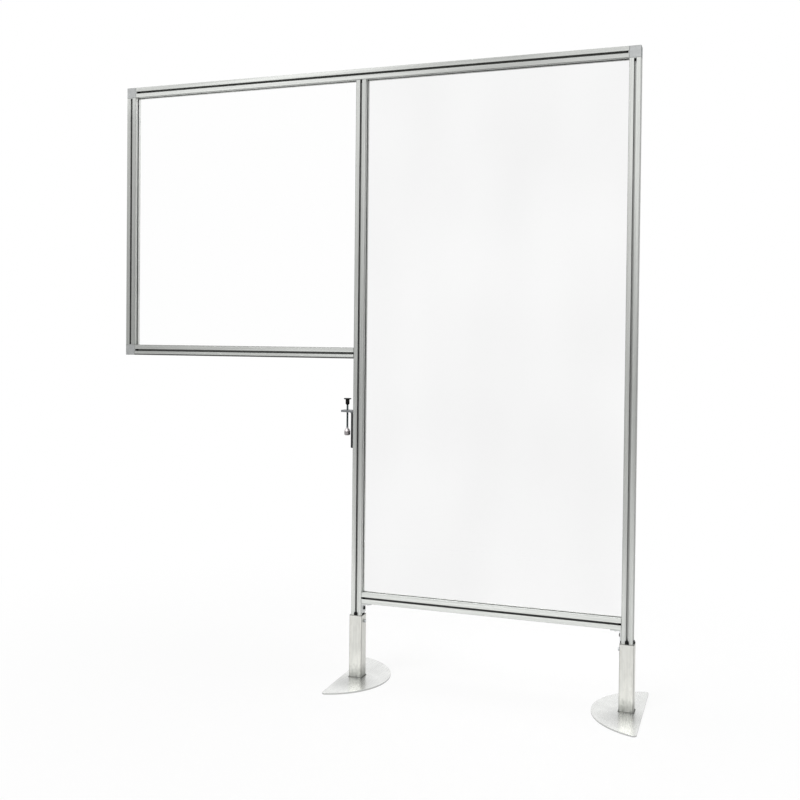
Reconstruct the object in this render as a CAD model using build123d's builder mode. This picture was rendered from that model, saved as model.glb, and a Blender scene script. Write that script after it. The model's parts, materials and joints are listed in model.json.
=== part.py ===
"""Free-standing sneeze guard: two clear sheets in a frame of square T-slot aluminium profile.

The main bay stands on two telescopic feet.  The wing bay hangs beside it at head height and
reaches out over a counter, and a screw clamp on the middle post holds the counter's edge.

Millimetres.  +X runs from the wing to the main bay, +Y away from the guest, +Z up.
The origin is on the floor, under the axis of the middle post.
"""
from build123d import *
from math import atan, degrees
import os

os.makedirs("parts", exist_ok=True)

# ------------------------------------------------------------------ driving sizes of the frame
overall_height = 2284.0      # floor to the top of the top rail
wing_bay = 995.0             # axis of the wing post to axis of the middle post
main_bay = 995.0             # axis of the middle post to axis of the right post
wing_underside = 1204.0      # floor to the underside of the wing's lower rail

# ------------------------------------------------------------------ T-slot profile
profile = 40.0               # side of the square section
profile_corner = 1.5         # radius along its four edges
slot_opening = 8.2           # width of the slot at the face
slot_bevel = 0.5             # lead-in bevel of the slot
slot_lip = 4.5               # thickness of the lips beside the slot
undercut = 20.0              # width of the slot behind its lips
undercut_side = 2.2          # straight part of the undercut's sides
slot_depth = 12.25           # face to slot floor
slot_floor = 8.9             # width of the slot floor
core_bore = 6.8              # hole along the middle of the section

# ------------------------------------------------------------------ M8 fasteners
screw_diameter = 8.0
thread_gap = 0.05            # radial play between a thread and its tapped hole
clearance_hole = 9.0         # plain hole for an M8 screw
thread_depth = 24.0          # screw in the tapped core of a profile
tapped_depth = 27.0          # tapped length of that core
head_diameter = 14.0         # button head
head_height = 4.4
head_crown = 8.6             # diameter of the flat on top of the head
socket_across = 5.0          # hexagon socket, across flats
socket_depth = 2.6
access_hole = 7.0            # hole through a profile for the hexagon key

# ------------------------------------------------------------------ corner cubes
cube_wall = 8.0
cap_side = 32.0
cap_thickness = 2.0
cap_gap = 0.15
cube_edge = 1.2              # rounding of the cube's edges
lug_length = 3.5             # lugs that enter the front and back slots and stop a bar turning
lug_side_gap = 0.2           # lug clear of the slot on each side
lug_recess = 0.4             # lug below the profile's face

# ------------------------------------------------------------------ hidden butt joints
anchor_length = 16.0         # anchor plate, along the slot
anchor_side_gap = 0.5
anchor_thickness = 2.5
anchor_head = 13.0
anchor_head_crown = 8.0
anchor_head_height = 4.0

# ------------------------------------------------------------------ sheets and gaskets
sheet_thickness = 5.0
sheet_inset = 10.0           # sheet inside the slot
notch_margin = 2.0           # sheet clear of a corner cube
gasket_base = 1.0            # rubber between the sheet's edge and the slot floor
gasket_proud = 1.0           # rubber standing out of the slot

# ------------------------------------------------------------------ angle brackets below the low rail
bracket_leg = 38.0
bracket_width = 36.0
bracket_wall = 4.5
bracket_fillet = 4.0         # in the inner corner
bracket_corner = 3.0         # on the free ends
bracket_hole_at = 21.0       # corner to the middle of a hole
bracket_above_foot = 8.0     # top of a foot's tube to the bracket above it

# ------------------------------------------------------------------ T-slot nuts
nut_width = 15.0
nut_thickness = 4.0
nut_length = 20.0
nut_reach = 10.5             # screw tip behind the profile's face

# ------------------------------------------------------------------ feet
plate_thickness = 6.0
plate_radius = 232.0         # radius of the round edge
plate_outside = 55.0         # post axis to the straight edge
plate_inside = 120.0         # post axis to the crown of the round edge
plate_corner = 12.0
plate_edge = 0.8
tube_side = 50.0
tube_wall = 4.0
tube_corner = 4.0
tube_height = 235.0
tube_edge = 0.6
weld_leg = 3.5
weld_toe = 0.1               # width left at the bead's upper edge
set_screw_below_top = 24.0
set_screw_head = 11.0        # across flats
set_screw_head_height = 6.0
set_screw_stand_off = 0.8    # head clear of the tube
dog_point = 5.5              # diameter of the tip that runs in the slot
slide_gap = 0.3              # play of moving pieces in and beside the profile

# ------------------------------------------------------------------ counter clamp
clamp_top = 1010.0           # floor to the top of the clamp's arm
clamp_length = 142.0         # back plate and arm, top to bottom
clamp_reach = 50.0           # post face to the end of the arm
clamp_width = 40.0
clamp_wall = 8.0
clamp_bend = 7.0             # inside radius of the bend
clamp_corner = 5.0
clamp_screws_below = (35.0, 115.0)
countersink = 16.0           # diameter of the flat screw head
spindle_from_post = 30.0     # post face to the spindle's axis
knob_above_arm = 19.0
knob_height = 25.0
knob_body = 15.0             # diameter
knob_foot_round = 3.5
knob_flange = 28.0           # diameter
knob_flange_thickness = 4.0
knob_scallops = 10
knob_scallop = 2.4           # radius of a finger scallop
spindle_in_knob = 16.0
pad_below_arm = 62.0         # arm to the top of the swivel pad
pad_height = 26.0
pad_diameter = 23.0
pad_face = 17.0              # diameter of the flat that presses on the counter
pad_straight_top = 16.0      # height of the pad's full-width part
pad_foot_height = 3.5
pad_neck = 13.0              # diameter of the pad at its mouth
ball = 10.0                  # diameter of the spindle's ball end
ball_height = 14.0           # pad face to ball centre
neck = 6.0                   # diameter of the spindle above the ball
pad_mouth = 8.4              # inner diameter that holds the ball in
pad_mouth_top = 10.8
washer_thickness = 1.5
washer_diameter = 12.0
washer_above_pad = 3.5

# ------------------------------------------------------------------ places that follow
half = profile / 2
rail_top_z = overall_height - half
wing_rail_z = wing_underside + half
post_top = overall_height - profile
screw_radius = screw_diameter / 2
tapped_radius = screw_radius + thread_gap
tube_top = plate_thickness + tube_height
low_rail_underside = tube_top + bracket_above_foot + bracket_leg
low_rail_z = low_rail_underside + half
arm_under = clamp_top - clamp_wall
spindle_x = -half - spindle_from_post
pad_bottom = arm_under - pad_below_arm - pad_height
ball_z = pad_bottom + ball_height
shoulder_z = pad_bottom + pad_height + washer_above_pad + washer_thickness
knob_bottom = clamp_top + knob_above_arm
knob_top = knob_bottom + knob_height


def save(name, piece):
    """Label a finished piece and write it to its own file."""
    piece.part.label = name
    export_step(piece.part, f"parts/{name}.step")


def facing(origin, direction):
    """A plane at a point of the frame, looking along the given direction in X and Z."""
    return Plane(origin=origin, x_dir=(0, 1, 0), z_dir=direction)


def opposite(plane):
    """The same place, looking the other way."""
    return facing(plane.origin, -plane.z_dir)


# ------------------------------------------------------------------ the six lengths of profile
def slot_outline():
    """Half of a T-slot's outline, opening towards +X, then the other half mirrored."""
    mouth = slot_opening / 2
    outer = [
        (half + slot_bevel, mouth + slot_bevel),
        (half, mouth + slot_bevel),
        (half - slot_bevel, mouth),
        (half - slot_lip, mouth),
        (half - slot_lip, undercut / 2),
        (half - slot_lip - undercut_side, undercut / 2),
        (half - slot_depth, slot_floor / 2),
    ]
    return outer + [(x, -y) for x, y in reversed(outer)]


def profile_bar(start, end, tapped_start=True, tapped_end=True, access_at=()):
    """A length of T-slot profile, its ends tapped or not, with key holes through its core."""
    base = facing(start, Vector(*end) - Vector(*start))
    length = (Vector(*end) - Vector(*start)).length
    with BuildPart() as bar:
        with BuildSketch(base):
            RectangleRounded(profile, profile, profile_corner)
            with PolarLocations(0, 4):
                Polygon(*slot_outline(), align=None, mode=Mode.SUBTRACT)
            Circle(core_bore / 2, mode=Mode.SUBTRACT)
        extrude(amount=length)
        tapped_planes = []
        if tapped_start:
            tapped_planes.append(base)
        if tapped_end:
            tapped_planes.append(opposite(facing(end, base.z_dir)))
        for plane in tapped_planes:
            with BuildSketch(plane):
                Circle(tapped_radius)
            extrude(amount=tapped_depth, mode=Mode.SUBTRACT)
        for distance in access_at:
            middle = base.offset(distance).origin
            with BuildSketch(Plane(origin=middle, x_dir=(0, 1, 0), z_dir=base.y_dir)):
                Circle(access_hole / 2)
            extrude(amount=half - slot_depth + slide_gap, both=True, mode=Mode.SUBTRACT)
    return bar


top_rail = profile_bar(
    (-wing_bay + half, 0, rail_top_z), (main_bay - half, 0, rail_top_z),
    access_at=[wing_bay - half])
save("top_rail", top_rail)

wing_post = profile_bar((-wing_bay, 0, wing_underside + profile), (-wing_bay, 0, post_top))
save("wing_post", wing_post)

wing_rail = profile_bar((-wing_bay + half, 0, wing_rail_z), (-half, 0, wing_rail_z))
save("wing_rail", wing_rail)

middle_post = profile_bar(
    (0, 0, plate_thickness), (0, 0, post_top), tapped_start=False,
    access_at=[wing_rail_z - plate_thickness])
save("middle_post", middle_post)

right_post = profile_bar(
    (main_bay, 0, plate_thickness), (main_bay, 0, post_top), tapped_start=False)
save("right_post", right_post)

# The low rail hangs on its two brackets, so its ends are plain.
low_rail = profile_bar(
    (half, 0, low_rail_z), (main_bay - half, 0, low_rail_z),
    tapped_start=False, tapped_end=False)
save("low_rail", low_rail)


# ------------------------------------------------------------------ corner cubes, caps, screws
# Each cube: name, centre in X, centre in Z, side of its rail (+1 is +X), side of its post (+1 is +Z)
corner_cubes = [
    ("top_wing", -wing_bay, rail_top_z, 1, -1),
    ("low_wing", -wing_bay, wing_rail_z, 1, 1),
    ("top_right", main_bay, rail_top_z, -1, -1),
]

for corner, centre_x, centre_z, rail_side, post_side in corner_cubes:
    centre = Vector(centre_x, 0, centre_z)
    outward = [Vector(-rail_side, 0, 0), Vector(0, 0, -post_side)]

    with BuildPart() as cube:
        with Locations(centre):
            Box(profile, profile, profile)
            fillet(edges(), cube_edge)
            cavity = profile - 2 * cube_wall
            Box(cavity, cavity, cavity, mode=Mode.SUBTRACT)
        for direction in outward:
            face = facing(centre + direction * half, direction)
            with BuildSketch(face):
                Rectangle(cavity, cavity)
            extrude(amount=-cube_wall, mode=Mode.SUBTRACT)
            with BuildSketch(face):
                Rectangle(cap_side, cap_side)
            extrude(amount=-cap_thickness, mode=Mode.SUBTRACT)
            with BuildSketch(facing(centre - direction * half, direction)):
                Circle(clearance_hole / 2)
            extrude(amount=cube_wall, mode=Mode.SUBTRACT)
            lug_depth = slot_lip - lug_recess
            with BuildSketch(facing(centre - direction * half, -direction)):
                with GridLocations(2 * (half - lug_recess) - lug_depth, 0, 2, 1):
                    Rectangle(lug_depth, slot_opening - 2 * lug_side_gap)
            extrude(amount=lug_length)
    save(f"{corner}_cube", cube)

    with BuildPart() as caps:
        for direction in outward:
            with BuildSketch(facing(centre + direction * half, direction)):
                Rectangle(cap_side - 2 * cap_gap, cap_side - 2 * cap_gap)
            extrude(amount=-cap_thickness)
    save(f"{corner}_caps", caps)


def button_screws(seats, reach):
    """Button-head screws, each with its head behind a seat plane and its shank before it."""
    head_slope = degrees(atan((head_diameter - head_crown) / 2 / head_height))
    with BuildPart() as screws:
        for seat in seats:
            with BuildSketch(seat):
                Circle(screw_radius)
            extrude(amount=reach)
            with BuildSketch(opposite(seat)):
                Circle(head_diameter / 2)
            extrude(amount=head_height, taper=head_slope)
            with BuildSketch(opposite(seat).offset(head_height)):
                RegularPolygon(socket_across / 2, 6, major_radius=False)
            extrude(amount=-socket_depth, mode=Mode.SUBTRACT)
    return screws


cube_seats = []
for _, centre_x, centre_z, rail_side, post_side in corner_cubes:
    for direction in (Vector(rail_side, 0, 0), Vector(0, 0, post_side)):
        wall = Vector(centre_x, 0, centre_z) + direction * (half - cube_wall)
        cube_seats.append(facing(wall, direction))
cube_screws = button_screws(cube_seats, cube_wall + thread_depth)
save("cube_screws", cube_screws)


# ------------------------------------------------------------------ hidden butt joints
# Where one profile's end meets the side of another with no bracket: the point, and the way
# into that side
butt_joints = [
    facing((0, 0, post_top), (0, 0, 1)),
    facing((-half, 0, wing_rail_z), (1, 0, 0)),
]

with BuildPart() as anchor_plates:
    for joint in butt_joints:
        with BuildSketch(joint.offset(slot_lip)):
            Rectangle(undercut - 2 * anchor_side_gap, anchor_length)
            Circle(tapped_radius, mode=Mode.SUBTRACT)
        extrude(amount=anchor_thickness)
save("anchor_plates", anchor_plates)

with BuildPart() as anchor_screws:
    head_slope = degrees(atan((anchor_head - anchor_head_crown) / 2 / anchor_head_height))
    for joint in butt_joints:
        head_seat = joint.offset(slot_lip + anchor_thickness)
        with BuildSketch(joint.offset(-thread_depth)):
            Circle(screw_radius)
        extrude(amount=thread_depth + slot_lip + anchor_thickness)
        with BuildSketch(head_seat):
            Circle(anchor_head / 2)
        extrude(amount=anchor_head_height, taper=head_slope)
        with BuildSketch(head_seat.offset(anchor_head_height)):
            RegularPolygon(socket_across / 2, 6, major_radius=False)
        extrude(amount=-socket_depth, mode=Mode.SUBTRACT)
save("anchor_screws", anchor_screws)


# ------------------------------------------------------------------ clear sheets and their gaskets
def sheet_and_gaskets(name, left, right, bottom, top, notched):
    """A clear sheet in the slots round an opening, with a U-shaped gasket along each edge.

    left, right, bottom and top are the opening's edges.  notched names the corners,
    as (side in X, side in Z), that are cut away to clear a corner cube.
    """
    width = right - left + 2 * sheet_inset
    height = top - bottom + 2 * sheet_inset
    middle = Vector((left + right) / 2, 0, (bottom + top) / 2)
    notch = sheet_inset + notch_margin
    upright = Plane(origin=middle, x_dir=(1, 0, 0), z_dir=(0, -1, 0))

    with BuildPart() as sheet:
        with BuildSketch(upright):
            Rectangle(width, height)
            for side_x, side_z in notched:
                with Locations((side_x * (width - notch) / 2, side_z * (height - notch) / 2)):
                    Rectangle(notch, notch, mode=Mode.SUBTRACT)
        extrude(amount=sheet_thickness / 2, both=True)
    save(f"{name}_sheet", sheet)

    edge_names = {(-1, 0): "left", (1, 0): "right", (0, -1): "lower", (0, 1): "upper"}
    for (side_x, side_z), edge in edge_names.items():
        if side_x:
            # A strip up a post covers the sheet's whole edge, as far as any notch.
            cut_low = notch if (side_x, -1) in notched else 0
            cut_high = notch if (side_x, 1) in notched else 0
            start = middle + Vector(side_x * width / 2, 0, cut_low - height / 2)
            length = height - cut_low - cut_high
            along = Vector(0, 0, 1)
        else:
            # A strip along a rail runs between the two upright strips.
            start = Vector(left + gasket_proud, 0, middle.Z + side_z * height / 2)
            length = right - left - 2 * gasket_proud
            along = Vector(1, 0, 0)
            if (-1, side_z) in notched:
                start += along * (notch_margin - gasket_proud)
                length -= notch_margin - gasket_proud
            if (1, side_z) in notched:
                length -= notch_margin - gasket_proud
        inward = Vector(-side_x, 0, -side_z)
        across = facing(start, along)
        reach = inward.dot(across.y_dir)
        depth = sheet_inset + gasket_base + gasket_proud
        with BuildPart() as gasket:
            with BuildSketch(across):
                with Locations((0, reach * (depth / 2 - gasket_base))):
                    Rectangle(slot_opening, depth)
                with Locations((0, reach * depth / 2)):
                    Rectangle(sheet_thickness, depth, mode=Mode.SUBTRACT)
            extrude(amount=length)
        save(f"{name}_{edge}_gasket", gasket)


sheet_and_gaskets("main", half, main_bay - half, low_rail_underside + profile, post_top,
                  notched=[(1, 1)])
sheet_and_gaskets("wing", half - wing_bay, -half, wing_underside + profile, post_top,
                  notched=[(-1, 1), (-1, -1)])


# ------------------------------------------------------------------ brackets below the low rail
# Each bracket: name, face of its post in X, way along the rail
corner_brackets = [("left", half, 1), ("right", main_bay - half, -1)]

for name, post_face, side in corner_brackets:
    with BuildPart() as bracket:
        with BuildSketch(Plane.XZ):
            Polygon(
                (post_face, low_rail_underside),
                (post_face + side * bracket_leg, low_rail_underside),
                (post_face + side * bracket_leg, low_rail_underside - bracket_wall),
                (post_face + side * bracket_wall, low_rail_underside - bracket_wall),
                (post_face + side * bracket_wall, low_rail_underside - bracket_leg),
                (post_face, low_rail_underside - bracket_leg), align=None)
        extrude(amount=bracket_width / 2, both=True)
        inner_corner = (post_face + side * bracket_wall, 0, low_rail_underside - bracket_wall)
        across = bracket.edges().filter_by(Axis.Y).sort_by_distance(inner_corner)
        fillet(across[0], radius=bracket_fillet)
        lowest = bracket.edges().filter_by(Axis.X).sort_by(Axis.Z)[:2]
        furthest = bracket.edges().filter_by(Axis.Z).sort_by(Axis.X, reverse=side < 0)[-2:]
        fillet(lowest + furthest, radius=bracket_corner)
        for seat in (
            facing((post_face + side * bracket_hole_at, 0, low_rail_underside), (0, 0, -1)),
            facing((post_face, 0, low_rail_underside - bracket_hole_at), (side, 0, 0)),
        ):
            with BuildSketch(seat):
                Circle(clearance_hole / 2)
            extrude(amount=bracket_wall, mode=Mode.SUBTRACT)
    save(f"{name}_corner_bracket", bracket)

# Screw places on the brackets: points on the profiles' faces, looking into their slots
bracket_seats = []
for _, post_face, side in corner_brackets:
    rail_point = (post_face + side * bracket_hole_at, 0, low_rail_underside)
    post_point = (post_face, 0, low_rail_underside - bracket_hole_at)
    bracket_seats += [facing(rail_point, (0, 0, 1)), facing(post_point, (-side, 0, 0))]


def slot_nuts(slot_faces):
    """T-slot nuts behind the lips of the slots that open at these faces."""
    with BuildPart() as nuts:
        for slot_face in slot_faces:
            with BuildSketch(slot_face.offset(slot_lip)):
                Rectangle(nut_width, nut_length)
                Circle(tapped_radius, mode=Mode.SUBTRACT)
            extrude(amount=nut_thickness)
    return nuts


screw_planes = [face.offset(-bracket_wall) for face in bracket_seats]
bracket_screws = button_screws(screw_planes, bracket_wall + nut_reach)
save("bracket_screws", bracket_screws)

bracket_nuts = slot_nuts(bracket_seats)
save("bracket_nuts", bracket_nuts)


# ------------------------------------------------------------------ feet
# Each foot: name, post axis in X, way from the straight edge to the round edge
feet = [("left", 0.0, 1), ("right", main_bay, -1)]
set_screw_z = tube_top - set_screw_below_top

for name, post_x, inward in feet:
    with BuildPart() as base_plate:
        with BuildSketch():
            with Locations((post_x + inward * (plate_inside - plate_radius), 0)):
                Circle(plate_radius)
            crown_to_edge = plate_inside + plate_outside
            with Locations((post_x + inward * (plate_inside - crown_to_edge / 2), 0)):
                Rectangle(crown_to_edge, 2 * plate_radius, mode=Mode.INTERSECT)
            fillet(vertices().group_by(Axis.X)[0 if inward > 0 else -1], plate_corner)
        extrude(amount=plate_thickness)
        chamfer(faces().sort_by(Axis.Z)[-1].edges(), plate_edge)
    save(f"{name}_base_plate", base_plate)

    with BuildPart() as foot_tube:
        with BuildSketch(Plane.XY.offset(plate_thickness)):
            with Locations((post_x, 0)):
                RectangleRounded(tube_side, tube_side, tube_corner)
                RectangleRounded(tube_side - 2 * tube_wall, tube_side - 2 * tube_wall,
                                 tube_corner / 2, mode=Mode.SUBTRACT)
        extrude(amount=tube_height)
        chamfer(faces().sort_by(Axis.Z)[-1].edges(), tube_edge)
        with BuildSketch(facing((post_x, 0, set_screw_z), (inward, 0, 0))):
            Circle(tapped_radius)
        extrude(amount=tube_side, mode=Mode.SUBTRACT)
    save(f"{name}_foot_tube", foot_tube)

    with BuildPart() as weld:
        bead_side = tube_side + 2 * weld_leg
        with BuildSketch(Plane.XY.offset(plate_thickness)):
            with Locations((post_x, 0)):
                RectangleRounded(bead_side, bead_side, tube_corner + weld_leg)
        extrude(amount=weld_leg, taper=degrees(atan((weld_leg - weld_toe) / weld_leg)))
        with BuildSketch(Plane.XY.offset(plate_thickness)):
            with Locations((post_x, 0)):
                RectangleRounded(tube_side, tube_side, tube_corner)
        extrude(amount=weld_leg, mode=Mode.SUBTRACT)
    save(f"{name}_weld_bead", weld)

    with BuildPart() as set_screw:
        tube_face = facing((post_x + inward * tube_side / 2, 0, set_screw_z), (inward, 0, 0))
        tip = tube_side / 2 - (half - slot_depth) - slide_gap
        thread = tube_side / 2 - half - slide_gap
        with BuildSketch(tube_face.offset(-tip)):
            Circle(dog_point / 2)
        extrude(amount=tip)
        with BuildSketch(tube_face.offset(-thread)):
            Circle(screw_radius)
        extrude(amount=thread + set_screw_stand_off)
        with BuildSketch(tube_face.offset(set_screw_stand_off)):
            RegularPolygon(set_screw_head / 2, 6, major_radius=False)
        extrude(amount=set_screw_head_height)
    save(f"{name}_set_screw", set_screw)


# ------------------------------------------------------------------ counter clamp
clamp_bottom = clamp_top - clamp_length
clamp_faces = [facing((-half, 0, clamp_top - down), (1, 0, 0)) for down in clamp_screws_below]

with BuildPart() as clamp_bracket:
    with BuildSketch(Plane.XZ):
        Polygon(
            (-half, clamp_bottom), (-half - clamp_wall, clamp_bottom),
            (-half - clamp_wall, arm_under), (-half - clamp_reach, arm_under),
            (-half - clamp_reach, clamp_top), (-half, clamp_top), align=None)
        inside = vertices().sort_by_distance((-half - clamp_wall, arm_under))[0]
        fillet(inside, clamp_bend)
        outside = vertices().sort_by_distance((-half, clamp_top))[0]
        fillet(outside, clamp_bend + clamp_wall)
    extrude(amount=clamp_width / 2, both=True)
    fillet(edges().filter_by(Axis.Z).group_by(Axis.X)[0], clamp_corner)
    fillet(edges().filter_by(Axis.X).group_by(Axis.Z)[0], clamp_corner)
    with BuildSketch(Plane.XY.offset(arm_under)):
        with Locations((spindle_x, 0)):
            Circle(tapped_radius)
    extrude(amount=clamp_wall, mode=Mode.SUBTRACT)
    for face in clamp_faces:
        with Locations(opposite(face).offset(clamp_wall)):
            CounterSinkHole(clearance_hole / 2, countersink / 2, clamp_wall)
save("clamp_bracket", clamp_bracket)

with BuildPart() as clamp_screws:
    for face in clamp_faces:
        head_top = face.offset(-clamp_wall)
        with BuildSketch(head_top):
            Circle(countersink / 2)
        extrude(amount=countersink / 2 - screw_radius, taper=45)
        with BuildSketch(head_top):
            Circle(screw_radius)
        extrude(amount=clamp_wall + nut_reach)
        with BuildSketch(head_top):
            RegularPolygon(socket_across / 2, 6, major_radius=False)
        extrude(amount=socket_depth, mode=Mode.SUBTRACT)
save("clamp_screws", clamp_screws)

clamp_nuts = slot_nuts(clamp_faces)
save("clamp_nuts", clamp_nuts)

with BuildPart() as spindle:
    with Locations((spindle_x, 0, ball_z)):
        Sphere(ball / 2)
    with BuildSketch(Plane.XY.offset(ball_z)):
        with Locations((spindle_x, 0)):
            Circle(neck / 2)
    extrude(amount=shoulder_z - ball_z)
    with BuildSketch(Plane.XY.offset(shoulder_z)):
        with Locations((spindle_x, 0)):
            Circle(screw_radius)
    extrude(amount=knob_bottom + spindle_in_knob - shoulder_z)
save("spindle", spindle)

with BuildPart() as neck_washer:
    with BuildSketch(Plane.XY.offset(shoulder_z - washer_thickness)):
        with Locations((spindle_x, 0)):
            Circle(washer_diameter / 2)
            Circle(neck / 2 + thread_gap, mode=Mode.SUBTRACT)
    extrude(amount=washer_thickness)
save("neck_washer", neck_washer)

with BuildPart() as swivel_pad:
    with BuildSketch(Plane.XZ):
        with BuildLine():
            Polyline(
                (spindle_x, pad_bottom),
                (spindle_x + pad_face / 2, pad_bottom),
                (spindle_x + pad_diameter / 2, pad_bottom + pad_foot_height),
                (spindle_x + pad_diameter / 2, pad_bottom + pad_straight_top),
                (spindle_x + pad_neck / 2, pad_bottom + pad_height),
                (spindle_x, pad_bottom + pad_height), close=True)
        make_face()
    revolve(axis=Axis((spindle_x, 0, 0), (0, 0, 1)))
    with Locations((spindle_x, 0, ball_z)):
        Sphere(ball / 2 + thread_gap, mode=Mode.SUBTRACT)
    mouth_height = pad_bottom + pad_height - ball_z
    with BuildSketch(Plane.XZ):
        with BuildLine():
            Polyline(
                (spindle_x, ball_z),
                (spindle_x + pad_mouth / 2, ball_z),
                (spindle_x + pad_mouth / 2, ball_z + ball / 4),
                (spindle_x + pad_mouth_top / 2, ball_z + mouth_height),
                (spindle_x, ball_z + mouth_height), close=True)
        make_face()
    revolve(axis=Axis((spindle_x, 0, 0), (0, 0, 1)), mode=Mode.SUBTRACT)
save("swivel_pad", swivel_pad)

with BuildPart() as knob:
    with BuildSketch(Plane.XY.offset(knob_bottom)):
        with Locations((spindle_x, 0)):
            Circle(knob_body / 2)
    extrude(amount=knob_height)
    fillet(faces().sort_by(Axis.Z)[0].edges(), knob_foot_round)
    with BuildSketch(Plane.XY.offset(knob_top - knob_flange_thickness)):
        with Locations((spindle_x, 0)):
            Circle(knob_flange / 2)
            with PolarLocations(knob_flange / 2 + knob_scallop / 2, knob_scallops):
                Circle(knob_scallop, mode=Mode.SUBTRACT)
    extrude(amount=knob_flange_thickness)
    with BuildSketch(Plane.XY.offset(knob_bottom)):
        with Locations((spindle_x, 0)):
            Circle(tapped_radius)
    extrude(amount=spindle_in_knob, mode=Mode.SUBTRACT)
save("knob", knob)
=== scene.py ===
"""Sneeze guard: finishes and fine shapes for the pieces of a free-standing guard.

Two clear sheets stand in a frame of T-slot aluminium bars.  The bars, cubes, sheets, plates and
tubes keep the frame's own shapes and get their finishes here.  Threaded, turned, welded and
rubber pieces are worked out here as surfaces.  Metres throughout, +Z up.
"""
import json
import math

import bmesh
import bpy
import numpy as np
from bpy.props import FloatProperty, FloatVectorProperty, IntProperty, PointerProperty
from bpy.types import Operator, Panel, PropertyGroup
from mathutils import Matrix, Vector


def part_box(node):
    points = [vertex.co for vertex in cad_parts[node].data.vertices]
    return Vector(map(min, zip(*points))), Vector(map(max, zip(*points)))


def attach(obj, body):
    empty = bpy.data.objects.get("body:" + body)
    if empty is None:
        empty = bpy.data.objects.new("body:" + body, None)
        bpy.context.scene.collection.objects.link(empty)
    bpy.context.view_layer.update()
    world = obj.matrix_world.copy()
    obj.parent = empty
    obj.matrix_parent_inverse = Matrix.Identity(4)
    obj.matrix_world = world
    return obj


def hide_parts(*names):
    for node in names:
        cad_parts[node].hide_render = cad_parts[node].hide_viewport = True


bl_info = {
    "name": "Sneeze Guard",
    "version": (1, 0, 0),
    "blender": (4, 5, 0),
    "location": "3D View > Sidebar > Sneeze Guard",
    "description": "Finishes and fine shapes for a free-standing sneeze guard",
    "category": "Object",
}

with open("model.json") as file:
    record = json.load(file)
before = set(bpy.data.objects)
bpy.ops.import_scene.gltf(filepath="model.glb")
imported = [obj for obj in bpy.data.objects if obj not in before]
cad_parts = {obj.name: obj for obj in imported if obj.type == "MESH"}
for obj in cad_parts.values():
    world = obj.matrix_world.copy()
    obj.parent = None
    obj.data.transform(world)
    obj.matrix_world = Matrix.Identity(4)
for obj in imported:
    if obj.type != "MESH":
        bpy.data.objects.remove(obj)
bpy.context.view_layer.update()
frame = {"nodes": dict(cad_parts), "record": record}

MM = 0.001


# ------------------------------------------------------------------ sizes and colours
def linear(hex_colour):
    """An sRGB hex colour as linear light: c / 12.92 if dark, else ((c + 0.055) / 1.055) ** 2.4."""
    channels = [int(hex_colour[i:i + 2], 16) / 255 for i in (1, 3, 5)]
    return [c / 12.92 if c <= 0.04045 else ((c + 0.055) / 1.055) ** 2.4 for c in channels]


def colour(name, description, hex_colour):
    """A colour that the user can change."""
    return FloatVectorProperty(
        name=name, description=description, subtype="COLOR", size=3, min=0, max=1,
        default=linear(hex_colour))


def length(name, description, millimetres):
    """A length that the user can change."""
    return FloatProperty(
        name=name, description=description, unit="LENGTH", min=0, precision=4,
        default=millimetres * MM)


def fraction(name, description, default, low=0, high=1):
    """A share of a whole that the user can change."""
    return FloatProperty(
        name=name, description=description, subtype="FACTOR", min=low, max=high,
        default=default)


def rotation(name, description, radians):
    """A turn that the user can change."""
    return FloatProperty(
        name=name, description=description, subtype="ANGLE", default=radians)


def position(name, description, metres):
    """A place that the user can change."""
    return FloatVectorProperty(
        name=name, description=description, subtype="TRANSLATION", unit="LENGTH",
        default=metres)


class FinishColours(PropertyGroup):
    """Colours of the guard's finishes."""

    aluminium: colour("Aluminium", "Natural anodising on the bars", "#C3C5C2")
    cube: colour("Corner cube", "Grey coating on the cast cubes", "#A7A9A9")
    cap: colour("Cube cap", "Moulded caps of the cubes", "#A0A6A5")
    zinc: colour("Zinc", "Zinc plating on screws, nuts and washers", "#B9BCBE")
    spindle: colour("Spindle", "Blue-grey plating of the clamp's spindle", "#5F6B6C")
    acrylic: colour("Sheet", "Tint of the clear acrylic", "#FEFEFE")
    # The main sheet's greyer tint and grey clouds are painted reflections of the room
    shaded: colour("Shaded sheet", "Tint of the main sheet, which is handled most", "#F8F8F8")
    cloud_grey: colour("Clouds", "Dust and wiping haze on the main sheet", "#F3F3F3")
    rubber: colour("Gasket", "Black rubber round the sheets", "#262727")
    bracket: colour("Bracket", "Tumbled aluminium angle brackets", "#C9CBCA")
    oxide: colour("Bracket screw", "Black oxide on the brackets' screws", "#1E1F20")
    plate: colour("Base plate", "Satin steel plates of the feet", "#EAEBE9")
    tube: colour("Foot tube", "Galvanised square tubes", "#D5D5D0")
    burnt: colour("Burnt zinc", "Smoke and burnt zinc beside the welds", "#6E706C")
    weld: colour("Weld", "Brushed weld beads", "#5E605F")
    paint: colour("Clamp", "Dark paint on the counter clamp", "#242526")
    pad: colour("Pad", "Nickel-plated swivel pad", "#9C9798")
    knob: colour("Knob", "Moulded black knob", "#080808")


class ThreadSizes(PropertyGroup):
    """The spindle's thread and ends."""

    pitch: length("Pitch", "From one thread crest to the next", 1.25)
    depth: length("Depth", "From crest to root", 0.7)
    crest: fraction("Crest", "Share of the pitch that is flat crest", 0.14, 0.05, 0.4)
    diameter: length("Diameter", "Across the crests", 8.0)
    neck: length("Neck", "Diameter between the thread and the ball", 6.0)
    ball: length("Ball", "Diameter of the ball end", 10.0)
    neck_height: length("Neck height", "Middle of the ball to the shoulder", 17.0)


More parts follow.
